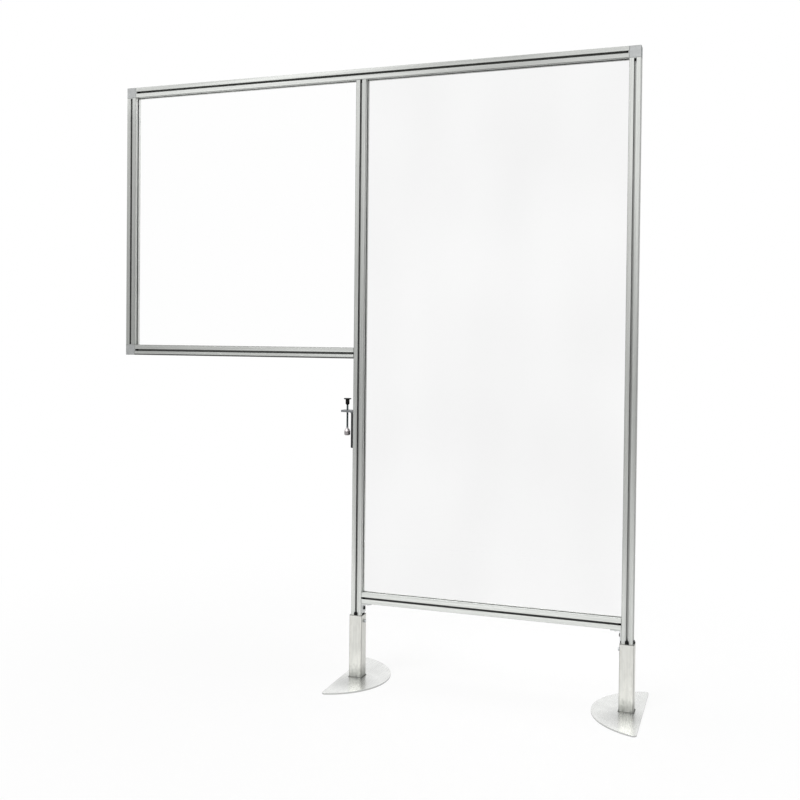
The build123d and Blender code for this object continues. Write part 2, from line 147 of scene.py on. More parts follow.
class KnobSizes(PropertyGroup):
    """The clamp's knob."""

    stem: length("Stem", "Diameter of the grip below the flange", 15.0)
    flange: length("Flange", "Diameter of the flange", 28.0)
    flange_thickness: length("Flange thickness", "Height of the flange", 4.0)
    scallops: IntProperty(
        name="Scallops", description="Finger hollows round the flange", min=3, default=10)
    scallop: length("Scallop", "Radius of one finger hollow", 2.4)
    bore: length("Bore", "Diameter of the hole for the spindle", 8.1)
    bore_depth: length("Bore depth", "Depth of that hole", 16.0)
    dish: length("Dish", "Depth of the hollow in the top", 0.9)
    rounding: length("Rounding", "Rounding of the edges", 0.8)


class PadSizes(PropertyGroup):
    """The swivel pad on the spindle's ball."""

    face: length("Face", "Diameter of the flat that presses on the counter", 17.0)
    foot: length("Foot", "Height of the flare above the face", 3.5)
    straight: length("Straight", "Height of the full-width part", 16.0)
    rim: length("Rim", "Diameter at the mouth", 13.0)
    mouth: length("Mouth", "Inner diameter at the mouth", 10.8)
    throat: length("Throat", "Narrowest inner diameter, above the ball", 8.4)
    socket: length("Socket", "Diameter of the ball's socket", 10.1)
    ball_height: length("Ball height", "Face to the middle of the ball", 14.0)


class ScrewSizes(PropertyGroup):
    """The screws that show."""

    shank: length("Shank", "Diameter of the shank", 8.0)
    head: length("Head", "Diameter of a button head", 14.0)
    head_height: length("Head height", "Height of a button head", 4.4)
    crown: length("Crown", "Diameter of the flat on a button head", 8.6)
    socket: length("Socket", "Hexagon socket, across flats", 5.0)
    socket_depth: length("Socket depth", "Depth of the socket", 2.6)
    reach: length("Reach", "Seat to the tip of a bracket screw", 15.0)
    hole_at: length("Hole place", "Bracket corner to the middle of a hole", 21.0)
    wall: length("Bracket wall", "Thickness of a bracket under a head", 4.5)
    hexagon: length("Hexagon", "Across the flats of a set screw's head", 11.0)
    hexagon_height: length("Hexagon height", "Height of a set screw's head", 6.0)
    dog: length("Dog point", "Diameter of a set screw's tip", 5.5)
    dog_length: length("Dog length", "Length of that tip", 12.25)


class SeamSizes(PropertyGroup):
    """Weld beads, gaskets and softened edges."""

    bead: length("Bead", "Leg of the weld round a foot tube", 3.5)
    ripple: length("Ripple", "From one ripple of the weld to the next", 2.2)
    ripple_height: length("Ripple height", "Height of a ripple", 0.3)
    tube_corner: length("Tube corner", "Outside corner radius of a foot tube", 4.0)
    sheet: length("Sheet", "Thickness of the clear sheets", 5.0)
    lip: length("Lip", "Rounding of a gasket's lips", 0.7)
    web: length("Web", "Rubber between the sheet's edge and the slot floor", 1.0)
    edge: length("Edge", "Rounding of the brackets' edges", 0.7)
    clamp_edge: length("Clamp edge", "Rounding of the clamp's edges", 0.9)


class GuideSizes(PropertyGroup):
    """The black slot guides on the feet."""

    head: length("Head", "Height of a guide above the tube's rim", 11.0)
    head_width: length("Head width", "Width of the head", 12.5)
    overhang: length("Overhang", "Post's face to the outside of the head", 4.6)
    tongue: length("Tongue", "Reach of the tongue below the rim", 11.0)
    tongue_width: length("Tongue width", "Width of the tongue in the slot", 7.2)
    tongue_depth: length("Tongue depth", "Depth of the tongue below the post's face", 7.5)
    gap: length("Gap", "Room between a guide, the post and the rim", 0.4)


class WearAndShadeSizes(PropertyGroup):
    """Painted shade in slots, on edges and on plates, burnt zinc, and painted light on clamp and
    pad.
    """

    # Painted shade in the bars' slots; an upright slot's floor, which light reaches, has less of
    # it
    slot_shade: fraction("Shade", "Light left by the film on a slot's sides", 0.2)
    upright_floor: fraction(
        "Upright floor", "Share of the film on the floor of an upright slot", 0.15)
    level_floor: fraction(
        "Level floor", "Share of the film on the floor of a level slot", 1.0)
    starts: length("Start", "Depth below a face at which the film starts", 0.6)
    full: length("Full", "Depth at which it is at its darkest", 5.0)
    floor_depth: length("Floor depth", "Depth of a slot's floor", 12.25)
    # The blackened end of a slot is painted shadow
    black_end: length("Black end", "Length of the blackened end of a slot beside a cube", 11.0)
    # The darker line along corners and cut ends is painted shade
    edge: length("Edge", "Width of the darker line along corners and cut ends", 1.7)
    edge_tone: fraction("Edge tone", "Light left along corners and cut ends", 0.3)
    # The patch ahead of each tube on its plate is a painted reflection of the tube's dark foot
    plate_shade_ahead: length("Smoke ahead", "Tube's front to the middle of the smoke on a plate", 45.0)
    plate_shade_aside: length("Smoke aside", "How far to the right of the tube that middle is", 4.0)
    plate_shade_core: length("Smoke core", "Radius within which the smoke is even", 25.0)
    plate_shade_reach: length("Smoke reach", "Radius at which the smoke has faded out", 110.0)
    burnt_start: length("Burnt start", "The burn fades from here, below a plate's top", 8.0)
    burnt_reach: length("Burnt reach", "The zinc is clean from here, above that top", 52.0)
    # The clamp's arm at its top is painted paler as the light falls on it
    paint_unlit: length("Whole paint", "The clamp's paint is whole this far below its top", 12.0)
    paint_lit: length("Lit paint", "It is rubbed pale from here to its top", 7.0)
    # The pad's lower part is painted darker as shade, and its upper part as a highlight
    pad_shaded_share: fraction("Darkened pad", "Share of the pad's height that is worn dull", 0.6)


class StageSettings(PropertyGroup):
    """Floor, lamps and camera."""

    floor_side: length("Floor", "Side of the floor", 30000.0)
    floor: colour("Floor colour", "Matt pale floor", "#F4F4F3")
    soft: FloatProperty(
        name="Room light", description="Level of the light from all sides", min=0, default=0.3)
    key: FloatProperty(
        name="Main lamp", description="Strength of the far lamp above the front", min=0,
        default=2.35)
    key_at: position("Main lamp's place", "Place that its light comes from", (-2.1, -6.0, 6.4))
    key_breadth: rotation(
        "Main lamp's breadth", "How wide it stands in the sky", math.radians(30))
    fill: FloatProperty(
        name="Side lamp", description="Power of the weak lamp at the right", unit="POWER", min=0,
        default=12.0)
    fill_at: position("Side lamp's place", "Middle of the side lamp", (4.2, -1.8, 2.6))
    fill_side: length("Side lamp's size", "Side of the square lamp", 3460.0)
    camera_at: position("Camera", "Place of the camera", (1.37342, -3.604, 1.28291))
    yaw: rotation("Yaw", "Camera's turn from +Y towards +X", -0.347317)
    pitch: rotation("Pitch", "Camera's tilt up", -0.0177972)
    roll: rotation("Roll", "Camera's roll", 0.010083)
    lens: FloatProperty(
        name="Lens", description="Focal length on a 36 mm sensor", subtype="DISTANCE_CAMERA",
        default=46.185)
    shift: FloatVectorProperty(
        name="Shift", description="Camera shift across and up", size=2, default=(0.028, -0.0549))


GROUPS = {
    "guard_colours": FinishColours,
    "guard_thread": ThreadSizes,
    "guard_knob": KnobSizes,
    "guard_pad": PadSizes,
    "guard_screws": ScrewSizes,
    "guard_seams": SeamSizes,
    "guard_wear": WearAndShadeSizes,
    "guard_guides": GuideSizes,
    "guard_stage": StageSettings,
}
# Each bar: the axis that it lies along, how much paler its sides are painted than its front
# and back as the light falls, the height in mm of a dark band painted as shade along its lower
# edge, and its tone at some places along it in metres, painted light and shade along the bar
BARS = {
    "wing_post": (2, 2.3, 0.0, (
        (1.32, 0.57), (1.56, 0.57), (1.8, 0.64), (2.04, 0.77), (2.16, 0.8), (2.22, 0.98))),
    "middle_post": (2, 1.25, 0.0, (
        (0.38, 1.15), (0.63, 0.87), (0.87, 0.67), (1.12, 0.62), (1.36, 0.7), (1.61, 0.78),
        (1.85, 0.86), (2.1, 0.9))),
    "right_post": (2, 1.05, 0.0, (
        (0.38, 1.0), (0.63, 0.81), (0.87, 0.73), (1.12, 0.66), (1.36, 0.78), (1.61, 0.91),
        (1.85, 1.05), (2.1, 1.05))),
    "top_rail": (0, 1.0, 0.0, (
        (-0.84, 1.04), (-0.6, 1.15), (-0.36, 1.21), (-0.12, 1.13), (0.12, 0.97),
        (0.36, 0.79), (0.6, 0.7), (0.84, 0.81))),
    "wing_rail": (0, 1.0, 5.6, ((-0.9, 0.68), (-0.67, 0.77), (-0.44, 0.92), (-0.1, 1.0))),
    "low_rail": (0, 1.0, 0.0, ((0.1, 1.3), (0.9, 1.24))),
}
# Each corner cube and the share by which its grey is darkened or lightened
CORNERS = {"top_wing": 1.02, "low_wing": 0.81, "top_right": 1.04}
# Each foot, and the way along X from it to the middle of the main bay
SIDES = {"left": 1, "right": -1}


# ------------------------------------------------------------------ materials
# Most values of a noise pattern lie between these two
NOISE = (0.3, 0.7)


def add_node(tree, kind, inputs=None, **settings):
    """Adds a node with its settings.  Each input is a value, or a node or socket to link from."""
    added = tree.nodes.new(kind)
    for key, value in settings.items():
        setattr(added, key, value)
    for key, value in (inputs or {}).items():
        if isinstance(value, bpy.types.Node):
            value = value.outputs[0]
        if isinstance(value, bpy.types.NodeSocket):
            tree.links.new(value, added.inputs[key])
        else:
            added.inputs[key].default_value = value
    return added


def grain(tree, size_mm, detail, kind="ShaderNodeTexNoise", output=0):
    """A pattern whose grains measure size_mm, one number or one along each of X, Y and Z."""
    sizes = size_mm if isinstance(size_mm, (list, tuple)) else [size_mm] * 3
    place_on = add_node(tree, "ShaderNodeTexCoord").outputs["Object"]
    scaled = add_node(
        tree, "ShaderNodeMapping", {"Vector": place_on, "Scale": [1000 / s for s in sizes]})
    return add_node(
        tree, kind, {"Vector": scaled, "Scale": 1.0, "Detail": detail}).outputs[output]


def metres_along(tree, axis):
    """The object coordinate along one axis, in metres."""
    place_on = add_node(tree, "ShaderNodeTexCoord").outputs["Object"]
    return add_node(tree, "ShaderNodeSeparateXYZ", {0: place_on}).outputs[axis]


def facing(tree, axis):
    """How much the surface faces along one axis, from -1 to 1."""
    outward = add_node(tree, "ShaderNodeNewGeometry").outputs["Normal"]
    return add_node(tree, "ShaderNodeSeparateXYZ", {0: outward}).outputs[axis]


def graded(tree, pattern, low, high, first, second):
    """Goes from first to second, both numbers or both colours, as a pattern goes low to high."""
    numbers = isinstance(first, (int, float))
    start, end = (first, second) if numbers else (0, 1)
    rising = add_node(tree, "ShaderNodeMapRange", {
        "Value": pattern, "From Min": low, "From Max": high, "To Min": start, "To Max": end})
    if numbers:
        return rising.outputs[0]
    return add_node(
        tree, "ShaderNodeMix", {0: rising, 6: first, 7: second}, data_type="RGBA").outputs[2]


def shade(base, share=1.0):
    """A colour made darker or lighter by a share of its light, with full alpha."""
    return [min(1.0, c * share) for c in base[:3]] + [1.0]


def clouded(tree, base, pattern, dark, pale, ends=NOISE):
    """A colour that a pattern makes darker and paler, each by a share of its light."""
    return graded(tree, pattern, *ends, shade(base, dark), shade(base, pale))


def new_finish(name, **constants):
    """A material with a Principled shader.  Returns the material, its tree and the shader."""
    material = bpy.data.materials.new(name)
    material.use_nodes = True
    tree = material.node_tree
    tree.nodes.clear()
    shader = add_node(tree, "ShaderNodeBsdfPrincipled")
    for key, value in constants.items():
        shader.inputs[key.replace("_", " ")].default_value = value
    add_node(tree, "ShaderNodeOutputMaterial", {"Surface": shader})
    return material, tree, shader


def surface(tree, shader, base_colour, roughness=None, relief=None):
    """Links a varying colour, roughness and relief to the shader.

    roughness is what graded takes after its tree.  relief is a pattern, its real height in
    millimetres and its strength.
    """
    tree.links.new(base_colour, shader.inputs["Base Color"])
    if roughness:
        tree.links.new(graded(tree, *roughness), shader.inputs["Roughness"])
    if relief:
        pattern, height_mm, strength = relief
        raised = add_node(tree, "ShaderNodeBump", {
            "Height": pattern, "Distance": height_mm * MM, "Strength": strength})
        tree.links.new(raised.outputs[0], shader.inputs["Normal"])


def shown_instead(tree, factor, other):
    """Shows another shader in the stead of a material's own, where a factor is 1."""
    surface_in = next(n for n in tree.nodes if n.type == "OUTPUT_MATERIAL").inputs["Surface"]
    own = surface_in.links[0].from_socket
    mixed = add_node(tree, "ShaderNodeMixShader", {0: factor, 1: own, 2: other})
    tree.links.new(mixed.outputs[0], surface_in)

# Makes every piece in order.

def from_middle(tree, box):
    """How far each point is from a box's middle, along X, Y and Z."""
    place_on = add_node(tree, "ShaderNodeTexCoord").outputs["Object"]
    centred = add_node(tree, "ShaderNodeVectorMath", {
        0: place_on, 1: (box[0] + box[1]) / 2}, operation="SUBTRACT")
    return add_node(tree, "ShaderNodeVectorMath", {0: centred}, operation="ABSOLUTE")


def edged(tree, box, width, line, inner):
    """A box-shaped piece's colour: line along its edges, which fades to inner over a width.

    An edge is where two of the three distances below the box's faces are small, so the
    middle one of the three is taken: the larger of (the smaller of the first two) and (the
    smaller of the third and the larger of the first two).
    """
    below = add_node(tree, "ShaderNodeVectorMath", {
        0: (box[1] - box[0]) / 2, 1: from_middle(tree, box)}, operation="SUBTRACT")
    x, y, z = add_node(tree, "ShaderNodeSeparateXYZ", {0: below}).outputs
    smaller = add_node(tree, "ShaderNodeMath", {0: x, 1: y}, operation="MINIMUM")
    larger = add_node(tree, "ShaderNodeMath", {0: x, 1: y}, operation="MAXIMUM")
    third = add_node(tree, "ShaderNodeMath", {0: z, 1: larger}, operation="MINIMUM")
    middle = add_node(tree, "ShaderNodeMath", {0: smaller, 1: third}, operation="MAXIMUM")
    full_line = 0.2 * width
    return graded(tree, middle, full_line, width, line, inner)


def painted_light_along(tree, along, lit_tones):
    """Painted light and shade along a bar: grey in straight steps between (metres, share) pairs.
    """
    low, high = lit_tones[0][0], lit_tones[-1][0]
    ramp = add_node(tree, "ShaderNodeValToRGB", {
        0: graded(tree, metres_along(tree, along), low, high, 0, 1)})
    stops = ramp.color_ramp.elements
    for _ in lit_tones[2:]:
        stops.new(0.5)
    for stop, (at, share) in zip(stops, lit_tones):
        stop.position = (at - low) / (high - low)
        stop.color = (share, share, share, 1.0)
    return ramp.outputs[0]


def slot_shade_masks(tree, along, bar, wear_and_shade):
    """How dull and how black a bar is: each 0 on its faces and up to 1 in its slots.

    The bar's half width, less the larger of the two distances across from its axis, is the
    depth below the nearest face.  The painted shade on an upright slot's floor, which light
    reaches, is weaker than on its sides, and the ends of every slot are painted black as
    shadow.
    """
    size = bar[1] - bar[0]
    half = size.y / 2
    parts = add_node(tree, "ShaderNodeSeparateXYZ", {0: from_middle(tree, bar)}).outputs
    first, second = [parts[i] for i in range(3) if i != along]
    farther = add_node(tree, "ShaderNodeMath", {0: first, 1: second}, operation="MAXIMUM")
    sides = graded(tree, farther, half - wear_and_shade.starts, half - wear_and_shade.full, 0, 1)
    floor = half - wear_and_shade.floor_depth
    on_floor = wear_and_shade.upright_floor if along == 2 else wear_and_shade.level_floor
    floor_share = graded(tree, farther, floor + 0.1 * MM, floor + 0.5 * MM, on_floor, 1)
    black_from = size[along] / 2 - wear_and_shade.black_end
    ends = graded(tree, parts[along], black_from, black_from + 1 * MM, 0, 1)
    return [
        add_node(tree, "ShaderNodeMath", {0: sides, 1: part}, operation="MULTIPLY")
        for part in (floor_share, ends)]


def anodised(name, base, finish_of_bar, bar, wear_and_shade):
    """Natural anodised aluminium, extruded then etched: satin, with faint lines along the bar.

    The oxide skin scatters light, so a bar looks pale and only partly metallic.  Die lines
    are about 0.1 mm apart; they are drawn 1.2 mm apart so that they show.  Slow bands some
    6 mm wide come from the etch.  Light and shade are painted into the colour: the sides are
    paler or darker than the front and back, and the tone changes along each bar as the light
    falls on it.  Painted shade fills the slots, deeper below the bar's nearest face, runs along
    the round corners and the cut ends, and lies along the lower edge of the rail above the
    counter.
    """
    along, side_light, underside_shade_mm, lit_tones = finish_of_bar
    material, tree, shader = new_finish(name, Metallic=0.35)
    lines, bands = [1.2] * 3, [6.0] * 3
    lines[along], bands[along] = 600.0, 420.0
    fine, slow = grain(tree, lines, 3.0), grain(tree, bands, 2.0)
    # The tone along the bar is painted light and shade
    shaded = add_node(
        tree, "ShaderNodeMix",
        {0: 1.0, 6: clouded(tree, base, slow, 0.86, 1.1), 7: painted_light_along(tree, along, lit_tones)},
        data_type="RGBA", blend_type="MULTIPLY").outputs[2]
    # The sides are painted paler or darker than the front and back, as the light falls on them
    frontal = add_node(tree, "ShaderNodeMath", {0: facing(tree, 1)}, operation="ABSOLUTE")
    metal = add_node(tree, "ShaderNodeVectorMath", {
        0: shaded, "Scale": graded(tree, frontal, 0.3, 0.7, side_light, 1.0)},
        operation="SCALE").outputs[0]
    # A dark band is painted along the lower edge as shade
    if underside_shade_mm:
        top = bar[0].z + underside_shade_mm * MM
        underside_shade = shade(base, 0.3 * wear_and_shade.edge_tone)
        metal = graded(tree, metres_along(tree, 2), top - 0.8 * MM, top, underside_shade, metal)
    # Painted shade in the slots, and painted black at the slot ends as shadow
    slot_shade, black = slot_shade_masks(tree, along, bar, wear_and_shade)
    metal = graded(tree, slot_shade, 0, 1, metal, shade(base, wear_and_shade.slot_shade))
    metal = graded(tree, black, 0, 1, metal, shade(base, 0.01))
    # Painted shade along the bar's corners and cut ends
    surface(
        tree, shader, edged(tree, bar, wear_and_shade.edge, shade(base, wear_and_shade.edge_tone), metal),
        (fine, 0.25, 0.75, 0.38, 0.52), (fine, 0.02, 0.6))
    return material


def cast_coating(name, base, grain_mm, roughness, metallic, box=None, wear_and_shade=None):
    """Die-cast metal, tumbled or coated: matt, with a soft pebbled skin and slight clouding.

    A casting whose box is given has painted shade along its edges.
    """
    material, tree, shader = new_finish(name, Metallic=metallic)
    pebble, cloud = grain(tree, grain_mm, 4.0), grain(tree, 14.0, 3.0)
    coat = clouded(tree, base, cloud, 0.9, 1.08)
    if box:
        # Painted shade along the casting's edges
        coat = edged(tree, box, wear_and_shade.edge, shade(base, wear_and_shade.edge_tone), coat)
    surface(tree, shader, coat, (pebble, *NOISE, roughness - 0.06, roughness + 0.08),
            (pebble, 0.08, 0.7))
    return material


def zinc_plating(name, base):
    """Bright zinc on turned or cold-headed steel: bluish, fairly smooth, slightly clouded."""
    material, tree, shader = new_finish(name, Metallic=0.95)
    cloud = grain(tree, 3.0, 4.0)
    surface(tree, shader, clouded(tree, base, cloud, 0.84, 1.1), (cloud, *NOISE, 0.24, 0.4),
            (cloud, 0.02, 0.5))
    return material


def nickel_plating(name, base, box, wear_and_shade):
    """Nickel on a turned pad: a painted highlight above, and painted shade, dull and brownish,
    below.
    """
    material, tree, shader = new_finish(name, Metallic=0.5)
    cloud = grain(tree, 6.0, 3.0)
    dull = clouded(tree, base, cloud, 0.75, 0.95)
    # Painted highlight on the upper part, painted shade below it
    lit_from = box[0].z + wear_and_shade.pad_shaded_share * (box[1].z - box[0].z)
    nickel = graded(
        tree, metres_along(tree, 2), lit_from - 1 * MM, lit_from + 1 * MM, dull,
        shade(base, 1.7))
    surface(tree, shader, nickel, (cloud, *NOISE, 0.35, 0.5))
    return material


def moulded_plastic(name, base, roughness, sheen=0.5):
    """Moulded plastic with a spark-eroded skin: even colour, fine grain, soft gloss."""
    material, tree, shader = new_finish(name, Metallic=0.0, IOR=1.5, Specular_IOR_Level=sheen)
    spark, drift = grain(tree, 0.6, 3.0), grain(tree, 18.0, 2.0)
    surface(tree, shader, clouded(tree, base, drift, 0.88, 1.12),
            (spark, *NOISE, roughness - 0.05, roughness + 0.1), (spark, 0.03, 0.6))
    return material


def clear_acrylic(name, base, cloud_grey):
    """Cast acrylic sheet, polished: clear, with a slow unevenness and faint painted reflections.

    Rays from lamps pass it straight, so that what stands behind it is lit.
    """
    material, tree, shader = new_finish(
        name, Metallic=0.0, IOR=1.49, Roughness=0.0, Transmission_Weight=1.0)
    wave = grain(tree, (330.0, 330.0, 600.0), 1.0)
    # Grey clouds, painted as faint reflections of the room
    surface(tree, shader, graded(tree, wave, *NOISE, shade(cloud_grey), shade(base)),
            relief=(wave, 0.15, 0.3))
    path = add_node(tree, "ShaderNodeLightPath")
    straight = add_node(tree, "ShaderNodeBsdfTransparent", {"Color": shade(base)})
    shown_instead(tree, path.outputs["Is Shadow Ray"], straight)
    return material


def extruded_rubber(name, base):
    """Extruded EPDM rubber: nearly black, matt, with a dusty bloom in places."""
    material, tree, shader = new_finish(name, Metallic=0.0, IOR=1.52)
    pores, bloom = grain(tree, 0.8, 3.0), grain(tree, 30.0, 3.0)
    surface(tree, shader, clouded(tree, base, bloom, 0.8, 1.5, ends=(0.35, 0.7)),
            (pores, *NOISE, 0.55, 0.75), (pores, 0.05, 0.6))
    return material


def satin_steel(name, base, tube, wear_and_shade):
    """Rolled steel plate, linished and plated: pale satin with fine lines across the foot.

    Linishing marks are about 0.1 mm wide; they are drawn 0.9 mm wide so that they show.
    The cut edges, which do not face up, are darker.  A darker patch is painted on the plate in
    front of the tube, as a reflection of the tube's dark foot.
    """
    material, tree, shader = new_finish(name, Metallic=0.85)
    lines = grain(tree, (0.9, 90.0, 0.9), 3.0)
    linished = clouded(tree, base, grain(tree, 45.0, 4.0), 0.92, 1.04)
    low, high = tube
    # The painted reflection of the tube's dark foot, ahead of the tube
    patch = Vector((
        (low.x + high.x) / 2 + wear_and_shade.plate_shade_aside, low.y - wear_and_shade.plate_shade_ahead, low.z))
    place_on = add_node(tree, "ShaderNodeTexCoord").outputs["Object"]
    away = add_node(
        tree, "ShaderNodeVectorMath", {0: place_on, 1: patch}, operation="DISTANCE")
    soot_and_shade = graded(
        tree, away.outputs["Value"], wear_and_shade.plate_shade_core, wear_and_shade.plate_shade_reach, shade(base, 0.7),
        linished)
    surface(tree, shader, graded(tree, facing(tree, 2), 0.2, 0.8, shade(base, 0.6), soot_and_shade),
            (lines, 0.25, 0.75, 0.2, 0.34), (lines, 0.015, 0.5))
    return material


def galvanised(name, base, burnt, weld, tube, wear_and_shade):
    """Hot-dip galvanised tube: pale, with upright runs and faint spangles 8 mm wide.

    The weld's heat has burnt the zinc above it, in a ragged dark band that fades out 50 mm up.
    Painted shade runs along its edges, darker than a bar's and in a wider line.
    """
    material, tree, shader = new_finish(name, Metallic=0.85)
    runs = grain(tree, (3.5, 3.5, 120.0), 4.0)
    spangle = grain(tree, (8.0, 8.0, 20.0), 0.0, "ShaderNodeTexVoronoi", "Color")
    both = add_node(tree, "ShaderNodeMix", {0: 0.2, 6: runs, 7: spangle}, data_type="RGBA")
    tone = add_node(tree, "ShaderNodeRGBToBW", {0: both.outputs[2]}).outputs[0]
    clean = clouded(tree, base, tone, 0.88, 1.08)
    rag_up, rag_down = 12 * MM, -8 * MM
    rag = graded(tree, grain(tree, (9.0, 9.0, 14.0), 4.0), *NOISE, rag_up, rag_down)
    ragged = add_node(
        tree, "ShaderNodeMath", {0: metres_along(tree, 2), 1: rag}, operation="ADD")
    soot_and_shade = graded(
        tree, ragged, weld - wear_and_shade.burnt_start, weld + wear_and_shade.burnt_reach, shade(burnt), clean)
    # Painted shade along the tube's edges
    edge_shade = shade(base, 0.6 * wear_and_shade.edge_tone)
    surface(tree, shader, edged(tree, tube, 1.7 * wear_and_shade.edge, edge_shade, soot_and_shade),
            (tone, *NOISE, 0.36, 0.54), (tone, 0.06, 0.5))
    return material


def weld_metal(name, base):
    """Weld bead as it cooled: dark grey steel with straw-coloured patches left by the heat."""
    material, tree, shader = new_finish(name, Metallic=0.8)
    patch, scratch = grain(tree, 5.0, 4.0), grain(tree, 0.7, 3.0)
    straw = [base[0] * 1.3, base[1] * 1.25, base[2] * 1.15, 1.0]
    surface(tree, shader, graded(tree, patch, 0.35, 0.65, straw, shade(base, 0.85)),
            (scratch, *NOISE, 0.35, 0.6), (scratch, 0.05, 0.6))
    return material


def enamel(name, base, top, wear_and_shade):
    """Sprayed dark enamel on a bent bar: half gloss, with a slight orange peel.

    Its arm, which lies at its top, is painted paler as light that falls on it from above.
    """
    material, tree, shader = new_finish(
        name, Metallic=0.0, IOR=1.5, Specular_IOR_Level=0.28, Coat_Weight=0.08)
    peel, cloud = grain(tree, 1.6, 2.0), grain(tree, 25.0, 3.0)
    whole = clouded(tree, base, cloud, 0.7, 1.1)
    # Painted light on the arm at the top
    lit = graded(
        tree, metres_along(tree, 2), top - wear_and_shade.paint_unlit, top - wear_and_shade.paint_lit, whole,
        shade(base, 10.0))
    surface(tree, shader, lit, (cloud, *NOISE, 0.3, 0.42), (peel, 0.04, 0.6))
    return material


def make_materials(colours, wear_and_shade):
    """Every finish of the guard, by name: a node's own name where only that node has it."""
    weld_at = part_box("left_weld_bead")[0].z
    made = {
        "cap": moulded_plastic("grey_moulded_nylon", colours.cap, 0.5),
        "zinc": zinc_plating("zinc_plated_steel", colours.zinc),
        "wing_sheet": clear_acrylic("clear_acrylic", colours.acrylic, colours.acrylic),
        "main_sheet": clear_acrylic("shaded_acrylic", colours.shaded, colours.cloud_grey),
        "rubber": extruded_rubber("black_epdm_rubber", colours.rubber),
        "bracket": cast_coating("tumbled_aluminium", colours.bracket, 0.9, 0.42, 0.7),
        "oxide": zinc_plating("black_oxide_steel", colours.oxide),
        "spindle": zinc_plating("blue_zinc_steel", colours.spindle),
        "weld": weld_metal("brushed_weld", colours.weld),
        "paint": enamel("dark_enamel", colours.paint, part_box("clamp_bracket")[1].z, wear_and_shade),
        "pad": nickel_plating("nickel_plated_pad", colours.pad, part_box("swivel_pad"), wear_and_shade),
        "knob": moulded_plastic("black_phenolic", colours.knob, 0.45, sheen=0.12),
    }
    for bar, finish_of_bar in BARS.items():
        made[bar] = anodised(
            f"anodised_{bar}", colours.aluminium, finish_of_bar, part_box(bar), wear_and_shade)
    for corner, tone in CORNERS.items():
        cube = f"{corner}_cube"
        made[cube] = cast_coating(
            f"coated_{corner}_casting", shade(colours.cube, tone), 1.1, 0.5, 0.3,
            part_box(cube), wear_and_shade)
    for side in SIDES:
        plate, tube = f"{side}_base_plate", f"{side}_foot_tube"
        made[plate] = satin_steel(f"satin_{plate}", colours.plate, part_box(tube), wear_and_shade)
        made[tube] = galvanised(
            f"galvanised_{tube}", colours.tube, colours.burnt, weld_at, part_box(tube), wear_and_shade)
    return made


# ------------------------------------------------------------------ surfaces
def settle(mesh, angle=35):
    """Turns a closed mesh's faces outwards, and shades it smooth except across sharp angles."""
    work = bmesh.new()
    work.from_mesh(mesh)
    bmesh.ops.remove_doubles(work, verts=work.verts, dist=1e-6)
    bmesh.ops.recalc_face_normals(work, faces=work.faces)
    work.to_mesh(mesh)
    work.free()
    mesh.shade_smooth()
    mesh.set_sharp_from_angle(angle=math.radians(angle))
    mesh.update()
    return mesh


def skin(name, rings, ends):
    """A closed mesh over a grid of points, rings[row, column], each ring closed on itself.

    ends is "joined" where the last ring runs on into the first, "points" where the first and
    last rings close on their middles, and "flat" where one face closes each end.
    """
    rows, columns = rings.shape[:2]
    index = np.arange(rows * columns).reshape(rows, columns)
    last = rows if ends == "joined" else rows - 1
    this, following = index[:last], np.roll(index, -1, axis=0)[:last]
    quads = np.stack([
        this, np.roll(this, -1, axis=1), np.roll(following, -1, axis=1), following], axis=-1)
    points, faces = rings.reshape(-1, 3), quads.reshape(-1, 4).tolist()
    if ends == "points":
        first, final = rows * columns, rows * columns + 1
        points = np.vstack([points, rings[0].mean(axis=0), rings[-1].mean(axis=0)])
        low, high = index[0], index[-1]
        faces += np.stack([np.roll(low, -1), low, np.full(columns, first)], axis=-1).tolist()
        faces += np.stack([high, np.roll(high, -1), np.full(columns, final)], axis=-1).tolist()
    elif ends == "flat":
        faces += [index[0][::-1].tolist(), index[-1].tolist()]
    mesh = bpy.data.meshes.new(name)
    mesh.from_pydata(points.tolist(), [], faces)
    return settle(mesh)


def turned(origin, axis, radius, height):
    """Points turned about an axis: height along it, radius out from it, angle by the column."""
    angle = 2 * np.pi * np.arange(radius.shape[1]) / radius.shape[1]
    axis = Vector(axis).normalized()
    across = axis.orthogonal().normalized()
    u, v, w = (np.array(d) for d in (across, axis.cross(across), axis))
    out = np.cos(angle)[:, None] * u + np.sin(angle)[:, None] * v
    return np.array(origin) + radius[..., None] * out + height[..., None] * w


def upright(node, radius, height):
    """A skin turned about a node's own upright middle line, from the node's lowest point up."""
    low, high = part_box(node)
    middle = (low + high) / 2
    grid = turned((middle.x, middle.y, low.z), (0, 0, 1), radius, height)
    return skin(node, grid, "points")


def softened(profile, cut, steps=4):
    """An open outline with its inner corners rounded.

    At each corner the two sides stop short by cut, or by 0.45 of a shorter side, and a
    quadratic curve, (1-t)^2 a + 2t(1-t) corner + t^2 b, joins them.
    """
    profile = np.asarray(profile, float)
    corner = profile[1:-1]

    def stop(side):
        long = np.linalg.norm(side, axis=1, keepdims=True)
        return (corner + side / long * np.minimum(cut, 0.45 * long))[:, None]

    a, b = stop(profile[:-2] - corner), stop(profile[2:] - corner)
    t = np.linspace(0, 1, steps + 1)[None, :, None]
    curve = (1 - t) ** 2 * a + 2 * t * (1 - t) * corner[:, None] + t ** 2 * b
    return np.vstack([profile[:1], curve.reshape(-1, 2), profile[-1:]])


def hexagon(across_flats, columns):
    """Radius of a hexagon at each column's angle: half the flats over the cosine from a flat."""
    angle = 2 * np.pi * np.arange(columns) / columns
    return across_flats / 2 / np.cos((angle + np.pi / 6) % (np.pi / 3) - np.pi / 6)


